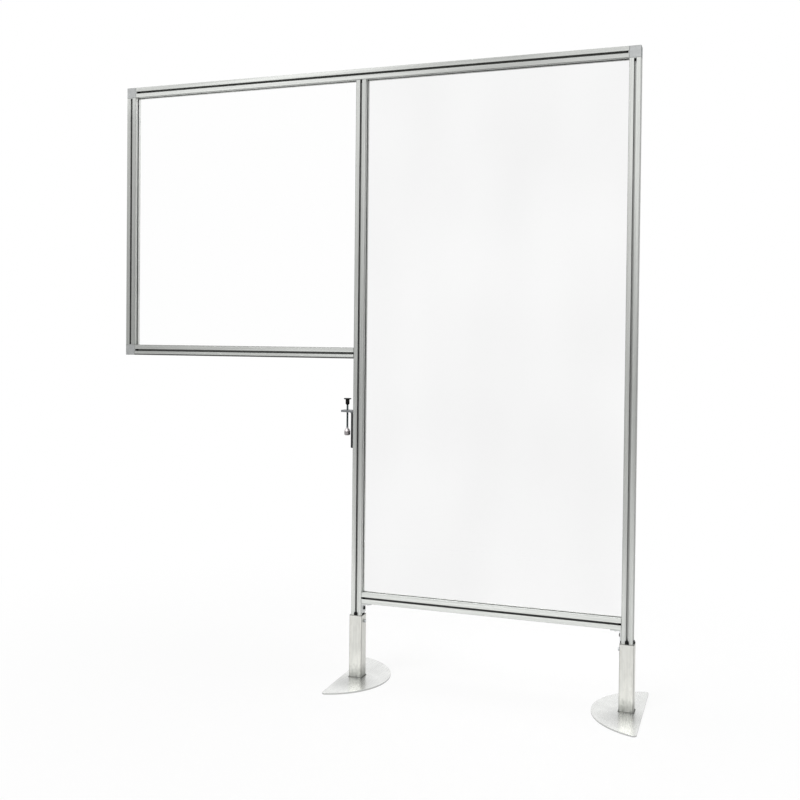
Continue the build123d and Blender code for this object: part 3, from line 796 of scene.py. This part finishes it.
def thread_grid(low, high, sizes, rows_per_turn=10, columns=20):
    """Radius and height grids of a screw thread from low to high.

    Heights rise by a tenth of the pitch each row, and every second column stands half a row
    higher, so that crests and roots fall on points all the way round.  The radius follows the
    phase, height / pitch - angle / full turn: flat crest, straight flank, flat root, flank.
    Both ends run out over one turn.
    """
    step = sizes.pitch / rows_per_turn
    rows = int((high - low) / step) - 1
    column = np.arange(columns)
    lift = (column * rows_per_turn / columns) % 1
    height = low + (np.arange(rows)[:, None] + lift) * step
    phase = ((height - low) / sizes.pitch - column / columns) % 1
    off_crest = np.abs(phase - 0.5) * 2
    fall = np.clip((off_crest - sizes.crest) / (1 - 3 * sizes.crest), 0, 1)
    run_out = np.clip(np.minimum(height - low, high - height) / sizes.pitch, 0, 1)
    radius = sizes.diameter / 2 - sizes.depth * fall * run_out
    return radius, height


def stacked(*pairs, columns=1):
    """Radius and height of several rings or grids of rings, one after another, as two grids.

    A number or a single column is spread over all the columns.
    """
    pairs = [[np.atleast_2d(part) for part in pair] for pair in pairs]
    columns = max(columns, *(radius.shape[1] for radius, _ in pairs))
    return [
        np.vstack([np.broadcast_to(pair[i], (len(pair[i]), columns)) for pair in pairs])
        for i in (0, 1)]


def as_columns(profile):
    """An outline of (radius, height) points as two single columns."""
    return profile[:, :1], profile[:, 1:]


def arc(height, radius, start, end, points):
    """Part of a circle as an outline: cosine out from the axis, sine up from a height."""
    angle = np.linspace(start, end, points)[:, None]
    return np.hstack([radius * np.cos(angle), height + radius * np.sin(angle)])


# ------------------------------------------------------------------ putting pieces in the frame
materials = {}


def finish(name):
    """A finish by its name; the first call makes them all."""
    if not materials:
        scene = bpy.context.scene
        materials.update(make_materials(scene.guard_colours, scene.guard_wear))
    return materials[name]


def dress(node, finish_name=None):
    """Gives a frame node a finish, by default the one of its own name."""
    slots = frame["nodes"][node].data.materials
    slots.clear()
    slots.append(finish(finish_name or node))


def body_of(node):
    """The body that a frame node belongs to."""
    return next(b for b, nodes in frame["record"]["behaviour"]["bodies"].items() if node in nodes)


def place(name, mesh, finish_name, node, replace=True):
    """Puts a new piece on a node's body, in the node's stead unless replace is off.

    finish_name is the name of the piece's finish.
    """
    piece = bpy.data.objects.new(name, mesh)
    bpy.context.scene.collection.objects.link(piece)
    mesh.materials.clear()
    mesh.materials.append(finish(finish_name))
    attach(piece, body_of(node))
    if replace:
        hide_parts(node)
    return piece


def place_all(name, grids, finish_name, node):
    """Several closed surfaces as one piece that stands for a node."""
    whole = bmesh.new()
    for grid in grids:
        single = skin(name, grid, "points")
        whole.from_mesh(single)
        bpy.data.meshes.remove(single)
    mesh = bpy.data.meshes.new(name)
    whole.to_mesh(mesh)
    whole.free()
    place(name, settle(mesh), finish_name, node)


def softened_copy(node, name, finish_name, width):
    """A copy of a frame node, merged, with its edges rounded by a bevel."""
    mesh = frame["nodes"][node].data.copy()
    mesh.name = name
    work = bmesh.new()
    work.from_mesh(mesh)
    bmesh.ops.remove_doubles(work, verts=work.verts, dist=2e-6)
    bmesh.ops.dissolve_limit(
        work, angle_limit=math.radians(1), verts=work.verts, edges=work.edges)
    work.to_mesh(mesh)
    work.free()
    settle(mesh, angle=40)
    piece = place(name, mesh, finish_name, node)
    bevel = piece.modifiers.new("rounded edges", "BEVEL")
    bevel.width = width
    bevel.segments = 3
    bevel.limit_method = "ANGLE"
    bevel.angle_limit = math.radians(40)
    bevel.harden_normals = True


# ------------------------------------------------------------------ operators
class SNEEZEGUARD_OT_bars(Operator):
    """Finish the six lengths of T-slot bar"""

    bl_idname = "sneeze_guard.bars"
    bl_label = "Bars"

    def execute(self, context):
        for bar in BARS:
            dress(bar)
        return {"FINISHED"}


class SNEEZEGUARD_OT_corner_cubes(Operator):
    """Finish the corner cubes and their caps"""

    bl_idname = "sneeze_guard.corner_cubes"
    bl_label = "Corner cubes"

    def execute(self, context):
        for corner in CORNERS:
            dress(f"{corner}_cube")
            dress(f"{corner}_caps", "cap")
        return {"FINISHED"}


class SNEEZEGUARD_OT_hidden_fasteners(Operator):
    """Finish the screws, plates and nuts inside the joints"""

    bl_idname = "sneeze_guard.hidden_fasteners"
    bl_label = "Hidden fasteners"

    def execute(self, context):
        for node in ("cube_screws", "anchor_plates", "anchor_screws", "bracket_nuts",
                     "clamp_nuts", "clamp_screws", "neck_washer"):
            dress(node, "zinc")
        return {"FINISHED"}


class SNEEZEGUARD_OT_sheets(Operator):
    """Finish the two clear sheets"""

    bl_idname = "sneeze_guard.sheets"
    bl_label = "Clear sheets"

    def execute(self, context):
        for node in ("main_sheet", "wing_sheet"):
            dress(node)
        return {"FINISHED"}


class SNEEZEGUARD_OT_gaskets(Operator):
    """Make the rubber strips round the sheets: a U outline with round lips, carried along"""

    bl_idname = "sneeze_guard.gaskets"
    bl_label = "Gaskets"

    def execute(self, context):
        sizes = context.scene.guard_seams
        inward = {"left": (0, 1), "right": (0, -1), "lower": (2, 1), "upper": (2, -1)}
        for bay in ("main", "wing"):
            for side, (axis, way) in inward.items():
                node = f"{bay}_{side}_gasket"
                low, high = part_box(node)
                along = 2 - axis
                depth, half = high[axis] - low[axis], (high[1] - low[1]) / 2
                gap = sizes.sheet / 2
                outline = softened([
                    (0, -half), (depth, -half), (depth, -gap), (sizes.web, -gap),
                    (sizes.web, gap), (depth, gap), (depth, half), (0, half)],
                    sizes.lip, steps=3)
                ring = np.zeros((len(outline), 3))
                base = low[axis] if way > 0 else high[axis]
                ring[:, axis] = base + way * outline[:, 0]
                ring[:, 1] = (low[1] + high[1]) / 2 + outline[:, 1]
                rings = np.stack([ring, ring])
                rings[0, :, along], rings[1, :, along] = low[along], high[along]
                place(f"{bay}_{side}_seal", skin(node, rings, "flat"), "rubber", node)
        return {"FINISHED"}


class SNEEZEGUARD_OT_corner_brackets(Operator):
    """Round the edges of the two angle brackets below the low rail"""

    bl_idname = "sneeze_guard.corner_brackets"
    bl_label = "Corner brackets"

    def execute(self, context):
        for side in SIDES:
            softened_copy(f"{side}_corner_bracket", f"{side}_angle_bracket", "bracket",
                          context.scene.guard_seams.edge)
        return {"FINISHED"}


class SNEEZEGUARD_OT_bracket_screws(Operator):
    """Make the four button-head screws of the brackets: a shank, a domed head and a socket"""

    bl_idname = "sneeze_guard.bracket_screws"
    bl_label = "Bracket screws"

    def execute(self, context):
        s = context.scene.guard_screws
        shank, top = s.shank / 2, s.head_height
        rim, quarter = 0.15 * top, np.linspace(0, np.pi / 2, 9)[:, None]
        dome = np.hstack([
            s.crown / 2 + (s.head - s.crown) / 2 * np.cos(quarter),
            rim + (top - rim) * np.sin(quarter)])
        below = softened(
            [(0, -s.reach), (shank, -s.reach), (shank, 0), (s.head / 2, 0), dome[0]], 0.4 * MM)
        socket, floor = hexagon(s.socket, 48), top - s.socket_depth
        radius, height = stacked(
            as_columns(below[1:]), as_columns(dome), (socket * 1.08, top),
            (socket, top - 0.2 * MM), (socket, floor + 0.1 * MM), (socket * 0.97, floor))
        grids = []
        for side, way in SIDES.items():
            low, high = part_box(f"{side}_corner_bracket")
            post = low.x if way > 0 else high.x
            for seat, axis in (
                    ((post + way * s.hole_at, 0, high.z - s.wall), (0, 0, -1)),
                    ((post + way * s.wall, 0, high.z - s.hole_at), (way, 0, 0))):
                grids.append(turned(seat, axis, radius, height))
        place_all("bracket_button_screws", grids, "oxide", "bracket_screws")
        return {"FINISHED"}


class SNEEZEGUARD_OT_feet(Operator):
    """Finish the base plates and foot tubes"""

    bl_idname = "sneeze_guard.feet"
    bl_label = "Feet"

    def execute(self, context):
        for side in SIDES:
            dress(f"{side}_base_plate")
            dress(f"{side}_foot_tube")
        return {"FINISHED"}


class SNEEZEGUARD_OT_slot_guides(Operator):
    """Make the black guides on the tubes' rims, whose tongues run in the posts' slots"""

    bl_idname = "sneeze_guard.slot_guides"
    bl_label = "Slot guides"

    def execute(self, context):
        sizes = context.scene.guard_guides
        faces = {"front": (0, -1), "back": (0, 1), "right": (1, 0), "left": (-1, 0)}
        for side, post in (("left", "middle_post"), ("right", "right_post")):
            low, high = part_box(post)
            tube = f"{side}_foot_tube"
            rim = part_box(tube)[1].z
            centre, half = ((low.x + high.x) / 2, 0, rim), (high.x - low.x) / 2
            below_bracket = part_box(f"{side}_corner_bracket")[0].z - rim - sizes.gap
            for face, way in faces.items():
                inner = way[0] == SIDES[side]
                head = min(sizes.head, below_bracket) if inner else sizes.head
                rings = self.guide(centre, way, half, head, sizes)
                name = f"{side}_foot_guide_{face}"
                place(name, skin(name, rings, "flat"), "knob", tube, replace=False)
        return {"FINISHED"}

    @staticmethod
    def guide(centre, way, half, head, sizes):
        """A hook outline, out from the post and up, carried across the slot's width.

        Beyond the tongue's width the outline is clipped to what stands outside the post's
        face and above the rim, which leaves the wider head.
        """
        inside, outside = half - sizes.tongue_depth, half + sizes.overhang
        clear, slope = half + sizes.gap, 0.25 * head
        outline = np.array([
            (inside, -sizes.tongue), (clear, -sizes.tongue), (clear, sizes.gap),
            (outside, sizes.gap), (outside, head - slope), (outside - slope, head),
            (inside, head)])
        narrow, wide, step = sizes.tongue_width / 2, sizes.head_width / 2, 0.1 * MM
        across = np.array([
            -wide, -narrow - step, -narrow, narrow, narrow + step, wide])[:, None]
        beyond = np.abs(across) > narrow + step / 2
        out = np.where(beyond, np.maximum(outline[:, 0], clear), outline[:, 0])
        up = np.where(beyond, np.maximum(outline[:, 1], sizes.gap), outline[:, 1])
        x, y = way
        return np.stack([
            centre[0] + x * out - y * across, centre[1] + y * out + x * across,
            centre[2] + up], axis=-1)


class SNEEZEGUARD_OT_weld_beads(Operator):
    """Make the weld beads: a bulged fillet carried round each tube, with ripples"""

    bl_idname = "sneeze_guard.weld_beads"
    bl_label = "Weld beads"

    def execute(self, context):
        for side in SIDES:
            node = f"{side}_weld_bead"
            grid = self.bead(
                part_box(f"{side}_foot_tube"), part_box(node)[0].z, context.scene.guard_seams)
            place(f"{side}_weld", skin(node, grid, "joined"), "weld", node)
        return {"FINISHED"}

    @staticmethod
    def bead(tube, floor, sizes, per_side=150, per_corner=16):
        """Rings of the bead's outline along a square path with round corners.

        The path is a smaller square, the tube's less its corner radius; the outline stands
        out from it along the outward direction.  The outline is a fillet whose face bulges
        with the sine, and whose bulge ripples with the distance along the path.
        """
        radius = sizes.tube_corner
        middle = (np.array(tube[0]) + np.array(tube[1])) / 2
        reach = (tube[1].x - tube[0].x) / 2 - radius
        corners = np.array([(1, -1), (1, 1), (-1, 1), (-1, -1)])[:, None] * reach
        following = np.roll(corners, -1, axis=0)
        t = (np.arange(per_side) / per_side)[:, None]
        path = np.concatenate([
            corners + (following - corners) * t, np.repeat(following, per_corner, axis=1)],
            axis=1).reshape(-1, 2)
        turn = np.concatenate([np.zeros(per_side), np.arange(per_corner) / per_corner])
        angle = ((np.arange(4)[:, None] + turn) * np.pi / 2).ravel()
        way = np.stack([np.cos(angle), np.sin(angle)], axis=-1)
        outer = path + radius * way
        distance = np.cumsum(np.hypot(*np.diff(outer, axis=0, prepend=outer[-1:]).T))
        turns = round(distance[-1] / sizes.ripple)
        wave = 0.5 + 0.5 * np.cos(2 * np.pi * turns * distance / distance[-1])
        face, ripple, slant = np.linspace(0, 1, 7), sizes.ripple_height, 0.7
        bulge = (0.1 * sizes.bead + ripple * wave[:, None]) * np.sin(np.pi * face) - ripple
        root = np.zeros((len(path), 1))
        out, up = (
            np.clip(np.hstack([root, sizes.bead * leg + slant * bulge]), 0, sizes.bead)
            for leg in (1 - face, face))
        flat = middle[:2] + path[:, None] + (radius + out)[..., None] * way[:, None]
        return np.concatenate([flat, (floor + up)[..., None]], axis=-1)


class SNEEZEGUARD_OT_set_screws(Operator):
    """Make the set screws in the foot tubes: hexagon head, thread and dog point"""

    bl_idname = "sneeze_guard.set_screws"
    bl_label = "Set screws"

    def execute(self, context):
        s, thread = context.scene.guard_screws, context.scene.guard_thread
        flats = hexagon(s.hexagon, 60)
        washer, turned_off = (np.minimum(flats, s.hexagon / 2 * up_to) for up_to in (1, 1.06))
        root = thread.diameter / 2 - thread.depth
        tip = softened([
            (0, 0), (s.dog / 2, 0), (s.dog / 2, s.dog_length),
            (root, s.dog_length + 0.3 * MM)], 0.5 * MM)
        for side, way in SIDES.items():
            node = f"{side}_set_screw"
            low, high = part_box(node)
            total = high.x - low.x
            seat = total - s.hexagon_height
            radius, height = stacked(
                as_columns(tip[1:]),
                thread_grid(s.dog_length + 0.4 * MM, seat, thread, columns=len(flats)),
                (washer, seat), (turned_off, seat + 0.3 * MM), (flats, seat + 0.8 * MM),
                (flats, total - 0.9 * MM), (turned_off, total - 0.3 * MM),
                (washer * 0.97, total), (washer * 0.5, total))
            start = low.x if way > 0 else high.x
            grid = turned((start, 0, (low.z + high.z) / 2), (way, 0, 0), radius, height)
            place(f"{side}_hexagon_screw", skin(node, grid, "points"), "zinc", node)
        return {"FINISHED"}


class SNEEZEGUARD_OT_clamp_bracket(Operator):
    """Round the edges of the bent clamp bracket"""

    bl_idname = "sneeze_guard.clamp_bracket"
    bl_label = "Clamp bracket"

    def execute(self, context):
        softened_copy("clamp_bracket", "clamp_angle", "paint",
                      context.scene.guard_seams.clamp_edge)
        return {"FINISHED"}


class SNEEZEGUARD_OT_spindle(Operator):
    """Make the clamp's spindle: ball, neck, shoulder and thread"""

    bl_idname = "sneeze_guard.spindle"
    bl_label = "Spindle"

    def execute(self, context):
        s = context.scene.guard_thread
        low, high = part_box("spindle")
        top, ball, neck = high.z - low.z, s.ball / 2, s.neck / 2
        shoulder, root = ball + s.neck_height, s.diameter / 2 - s.depth
        globe = arc(ball, ball, -np.pi / 2, np.arccos(neck / ball), 22)[1:]
        collar = softened([
            globe[-1], (neck, shoulder - 0.1 * MM), (root, shoulder),
            (root, shoulder + 0.4 * MM)], 0.3 * MM)
        radius, height = stacked(
            as_columns(globe), as_columns(collar[1:]),
            thread_grid(shoulder + 0.5 * MM, top - 0.6 * MM, s),
            (root, top - 0.3 * MM), (root * 0.8, top))
        place("threaded_spindle", upright("spindle", radius, height), "spindle", "spindle")
        return {"FINISHED"}


class SNEEZEGUARD_OT_swivel_pad(Operator):
    """Make the swivel pad: a turned cup that holds the spindle's ball"""

    bl_idname = "sneeze_guard.swivel_pad"
    bl_label = "Swivel pad"

    def execute(self, context):
        s = context.scene.guard_pad
        low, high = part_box("swivel_pad")
        outer, top = (high.x - low.x) / 2, high.z - low.z
        throat, socket = s.throat / 2, s.socket / 2
        meet = np.arccos(throat / socket)
        shell = softened([
            (0, 0), (s.face / 2, 0), (outer, s.foot), (outer, s.straight), (s.rim / 2, top),
            (s.mouth / 2, top), (throat, s.ball_height + socket / 2),
            (throat, s.ball_height + socket * np.sin(meet))], 0.7 * MM, steps=5)
        cup = arc(s.ball_height, socket, meet, -np.pi / 2, 20)[1:-1]
        radius, height = stacked(as_columns(shell[1:]), as_columns(cup), columns=64)
        place("pad_cup", upright("swivel_pad", radius, height), "pad", "swivel_pad")
        return {"FINISHED"}


class SNEEZEGUARD_OT_knob(Operator):
    """Make the knob: a round stem under a flange with finger hollows"""

    bl_idname = "sneeze_guard.knob"
    bl_label = "Knob"

    def execute(self, context):
        s, taper, fillet = context.scene.guard_knob, 3.5 * MM, 2 * MM
        low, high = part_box("knob")
        total, stem, bore = high.z - low.z, s.stem / 2, s.bore / 2
        under, rounding = total - s.flange_thickness, s.rounding
        rim = self.flange_edge(s, s.scallops * 16)
        shank = softened([
            (0, s.bore_depth), (bore, s.bore_depth), (bore, 0), (stem - taper, 0),
            (stem, taper), (stem, under - fillet), (stem + fillet, under)], 1.2 * MM, steps=5)
        turn = np.linspace(-np.pi / 2, np.pi / 2, 9)[:, None]
        edge_radius = rim - rounding + rounding * np.cos(turn)
        edge_height = np.where(
            turn < 0, under + rounding, total - rounding) + rounding * np.sin(turn)
        inner, share = rim.min() - 2.5 * rounding, np.linspace(1, 0, 7)[1:-1, None]
        radius, height = stacked(
            as_columns(shank[1:]), (edge_radius, edge_height), (inner, total - 0.05 * MM),
            (inner * share, total - s.dish * (1 - share ** 2)))
        place("flanged_knob", upright("knob", radius, height), "knob", "knob")
        return {"FINISHED"}

    @staticmethod
    def flange_edge(s, columns):
        """Radius of the flange at each angle.

        Near the middle of a hollow the edge is the near side of a circle of the hollow's
        radius, whose centre stands half that radius outside the flange.
        """
        centre, full = s.flange / 2 + s.scallop / 2, s.flange / 2
        step = 2 * np.pi / s.scallops
        angle = (2 * np.pi * np.arange(columns) / columns + step / 2) % step - step / 2
        inside = s.scallop ** 2 - (centre * np.sin(angle)) ** 2
        hollow = centre * np.cos(angle) - np.sqrt(np.maximum(inside, 0))
        return np.where(inside > 0, np.minimum(hollow, full), full)[None, :]


class SNEEZEGUARD_OT_stage(Operator):
    """Make the floor, the lamps and the camera"""

    bl_idname = "sneeze_guard.stage"
    bl_label = "Stage"

    def execute(self, context):
        scene, settings = context.scene, context.scene.guard_stage
        self.floor(settings)
        self.world(scene, settings)
        sky = bpy.data.lights.new("main_lamp", "SUN")
        sky.energy, sky.angle = settings.key, settings.key_breadth
        self.hang(sky, settings.key_at, (0, 0, 0))
        side = bpy.data.lights.new("side_lamp", "AREA")
        side.shape, side.size, side.energy = "SQUARE", settings.fill_side, settings.fill
        lamp = self.hang(side, settings.fill_at, (0, 0, 1))
        # Else the sheets would show it as a white square
        lamp.visible_transmission = False
        self.camera(scene, settings)
        scene.view_settings.view_transform = "Standard"
        return {"FINISHED"}

    @staticmethod
    def white_seen(tree):
        """1 for rays that see the backdrop: from the camera, a reflection or a clear sheet."""
        path = add_node(tree, "ShaderNodeLightPath").outputs
        first = add_node(
            tree, "ShaderNodeMath", {0: path["Is Camera Ray"], 1: path["Is Glossy Ray"]},
            operation="MAXIMUM")
        return add_node(tree, "ShaderNodeMath", {0: first, 1: path["Is Transmission Ray"]},
                        operation="MAXIMUM")

    def floor(self, settings):
        """A wide matt floor.  It keeps shadows near the guard and turns plain white far off."""
        side = settings.floor_side / 2
        mesh = bpy.data.meshes.new("floor")
        corners = [(-side, -side, 0), (side, -side, 0), (side, side, 0), (-side, side, 0)]
        mesh.from_pydata(corners, [], [(0, 1, 2, 3)])
        floor = bpy.data.objects.new("floor", mesh)
        bpy.context.scene.collection.objects.link(floor)
        material, tree, shader = new_finish("matt_floor", Roughness=0.9, Specular_IOR_Level=0.0)
        surface(tree, shader, clouded(
            tree, settings.floor, grain(tree, 3.0, 2.0), 0.99, 1.0, ends=(0, 1)))
        place_on = add_node(tree, "ShaderNodeTexCoord").outputs["Object"]
        away = add_node(tree, "ShaderNodeVectorMath", {0: place_on}, operation="LENGTH")
        near, far, shown_near = 0.3, 2.4, 0.88
        glow = add_node(tree, "ShaderNodeMapRange", {
            "Value": away.outputs["Value"], "From Min": near, "From Max": far,
            "To Min": shown_near, "To Max": 1.0}, interpolation_type="SMOOTHSTEP")
        seen = add_node(tree, "ShaderNodeMath", {0: self.white_seen(tree), 1: glow},
                        operation="MULTIPLY")
        white = add_node(tree, "ShaderNodeEmission", {"Color": (1, 1, 1, 1), "Strength": 1.0})
        shown_instead(tree, seen, white)
        mesh.materials.append(material)

    def world(self, scene, settings):
        """Soft light from all sides, which the camera, metal and sheets see as plain white."""
        world = bpy.data.worlds.new("soft_room")
        world.use_nodes = True
        tree = world.node_tree
        tree.nodes.clear()
        soft, white = (
            add_node(tree, "ShaderNodeBackground", {"Color": (1, 1, 1, 1), "Strength": level})
            for level in (settings.soft, 1.0))
        mixed = add_node(
            tree, "ShaderNodeMixShader", {0: self.white_seen(tree), 1: soft, 2: white})
        add_node(tree, "ShaderNodeOutputWorld", {"Surface": mixed})
        scene.world = world

    @staticmethod
    def hang(light, at, towards):
        """Puts a lamp at a place, so that it faces a point."""
        lamp = bpy.data.objects.new(light.name, light)
        lamp.location = at
        lamp.rotation_euler = (Vector(towards) - Vector(at)).to_track_quat("-Z", "Y").to_euler()
        bpy.context.scene.collection.objects.link(lamp)
        return lamp

    @staticmethod
    def camera(scene, settings):
        """The camera: yaw and pitch give its line of sight, and roll turns it about that."""
        yaw, pitch, roll = settings.yaw, settings.pitch, settings.roll
        ahead = Vector((
            math.sin(yaw) * math.cos(pitch), math.cos(yaw) * math.cos(pitch), math.sin(pitch)))
        level = Vector((math.cos(yaw), -math.sin(yaw), 0))
        upward = level.cross(ahead)
        right = math.cos(roll) * level + math.sin(roll) * upward
        up = math.cos(roll) * upward - math.sin(roll) * level
        lens = bpy.data.cameras.new("camera")
        lens.lens = settings.lens
        lens.sensor_width = 36
        lens.shift_x, lens.shift_y = settings.shift
        camera = bpy.data.objects.new("camera", lens)
        axes = Matrix((right, up, -ahead)).transposed().to_4x4()
        camera.matrix_world = Matrix.Translation(Vector(settings.camera_at)) @ axes
        scene.collection.objects.link(camera)
        scene.camera = camera


PIECES = (
    SNEEZEGUARD_OT_bars,
    SNEEZEGUARD_OT_corner_cubes,
    SNEEZEGUARD_OT_hidden_fasteners,
    SNEEZEGUARD_OT_sheets,
    SNEEZEGUARD_OT_gaskets,
    SNEEZEGUARD_OT_corner_brackets,
    SNEEZEGUARD_OT_bracket_screws,
    SNEEZEGUARD_OT_feet,
    SNEEZEGUARD_OT_slot_guides,
    SNEEZEGUARD_OT_weld_beads,
    SNEEZEGUARD_OT_set_screws,
    SNEEZEGUARD_OT_clamp_bracket,
    SNEEZEGUARD_OT_spindle,
    SNEEZEGUARD_OT_swivel_pad,
    SNEEZEGUARD_OT_knob,
    SNEEZEGUARD_OT_stage,
)


class SNEEZEGUARD_PT_pieces(Panel):
    """The guard's pieces, each with the operator that makes it"""

    bl_idname = "SNEEZEGUARD_PT_pieces"
    bl_label = "Sneeze Guard"
    bl_space_type = "VIEW_3D"
    bl_region_type = "UI"
    bl_category = "Sneeze Guard"

    def draw(self, context):
        for piece in PIECES:
            self.layout.operator(piece.bl_idname)
        for name, group in GROUPS.items():
            box = self.layout.box()
            box.label(text=group.__doc__)
            for key in group.__annotations__:
                box.prop(getattr(context.scene, name), key)


CLASSES = (*GROUPS.values(), *PIECES, SNEEZEGUARD_PT_pieces)


def register():
    """Registers the classes and puts their sizes and colours on the scene."""
    for each in CLASSES:
        bpy.utils.register_class(each)
    for name, group in GROUPS.items():
        setattr(bpy.types.Scene, name, PointerProperty(type=group))


def unregister():
    """Takes it all off again."""
    for name in GROUPS:
        delattr(bpy.types.Scene, name)
    for each in reversed(CLASSES):
        bpy.utils.unregister_class(each)


def main():
    """Makes every piece in order and writes the two boxes."""
    register()
    for piece in PIECES:
        category, name = piece.bl_idname.split(".")
        getattr(getattr(bpy.ops, category), name)()


if __name__ == "__main__":
    main()
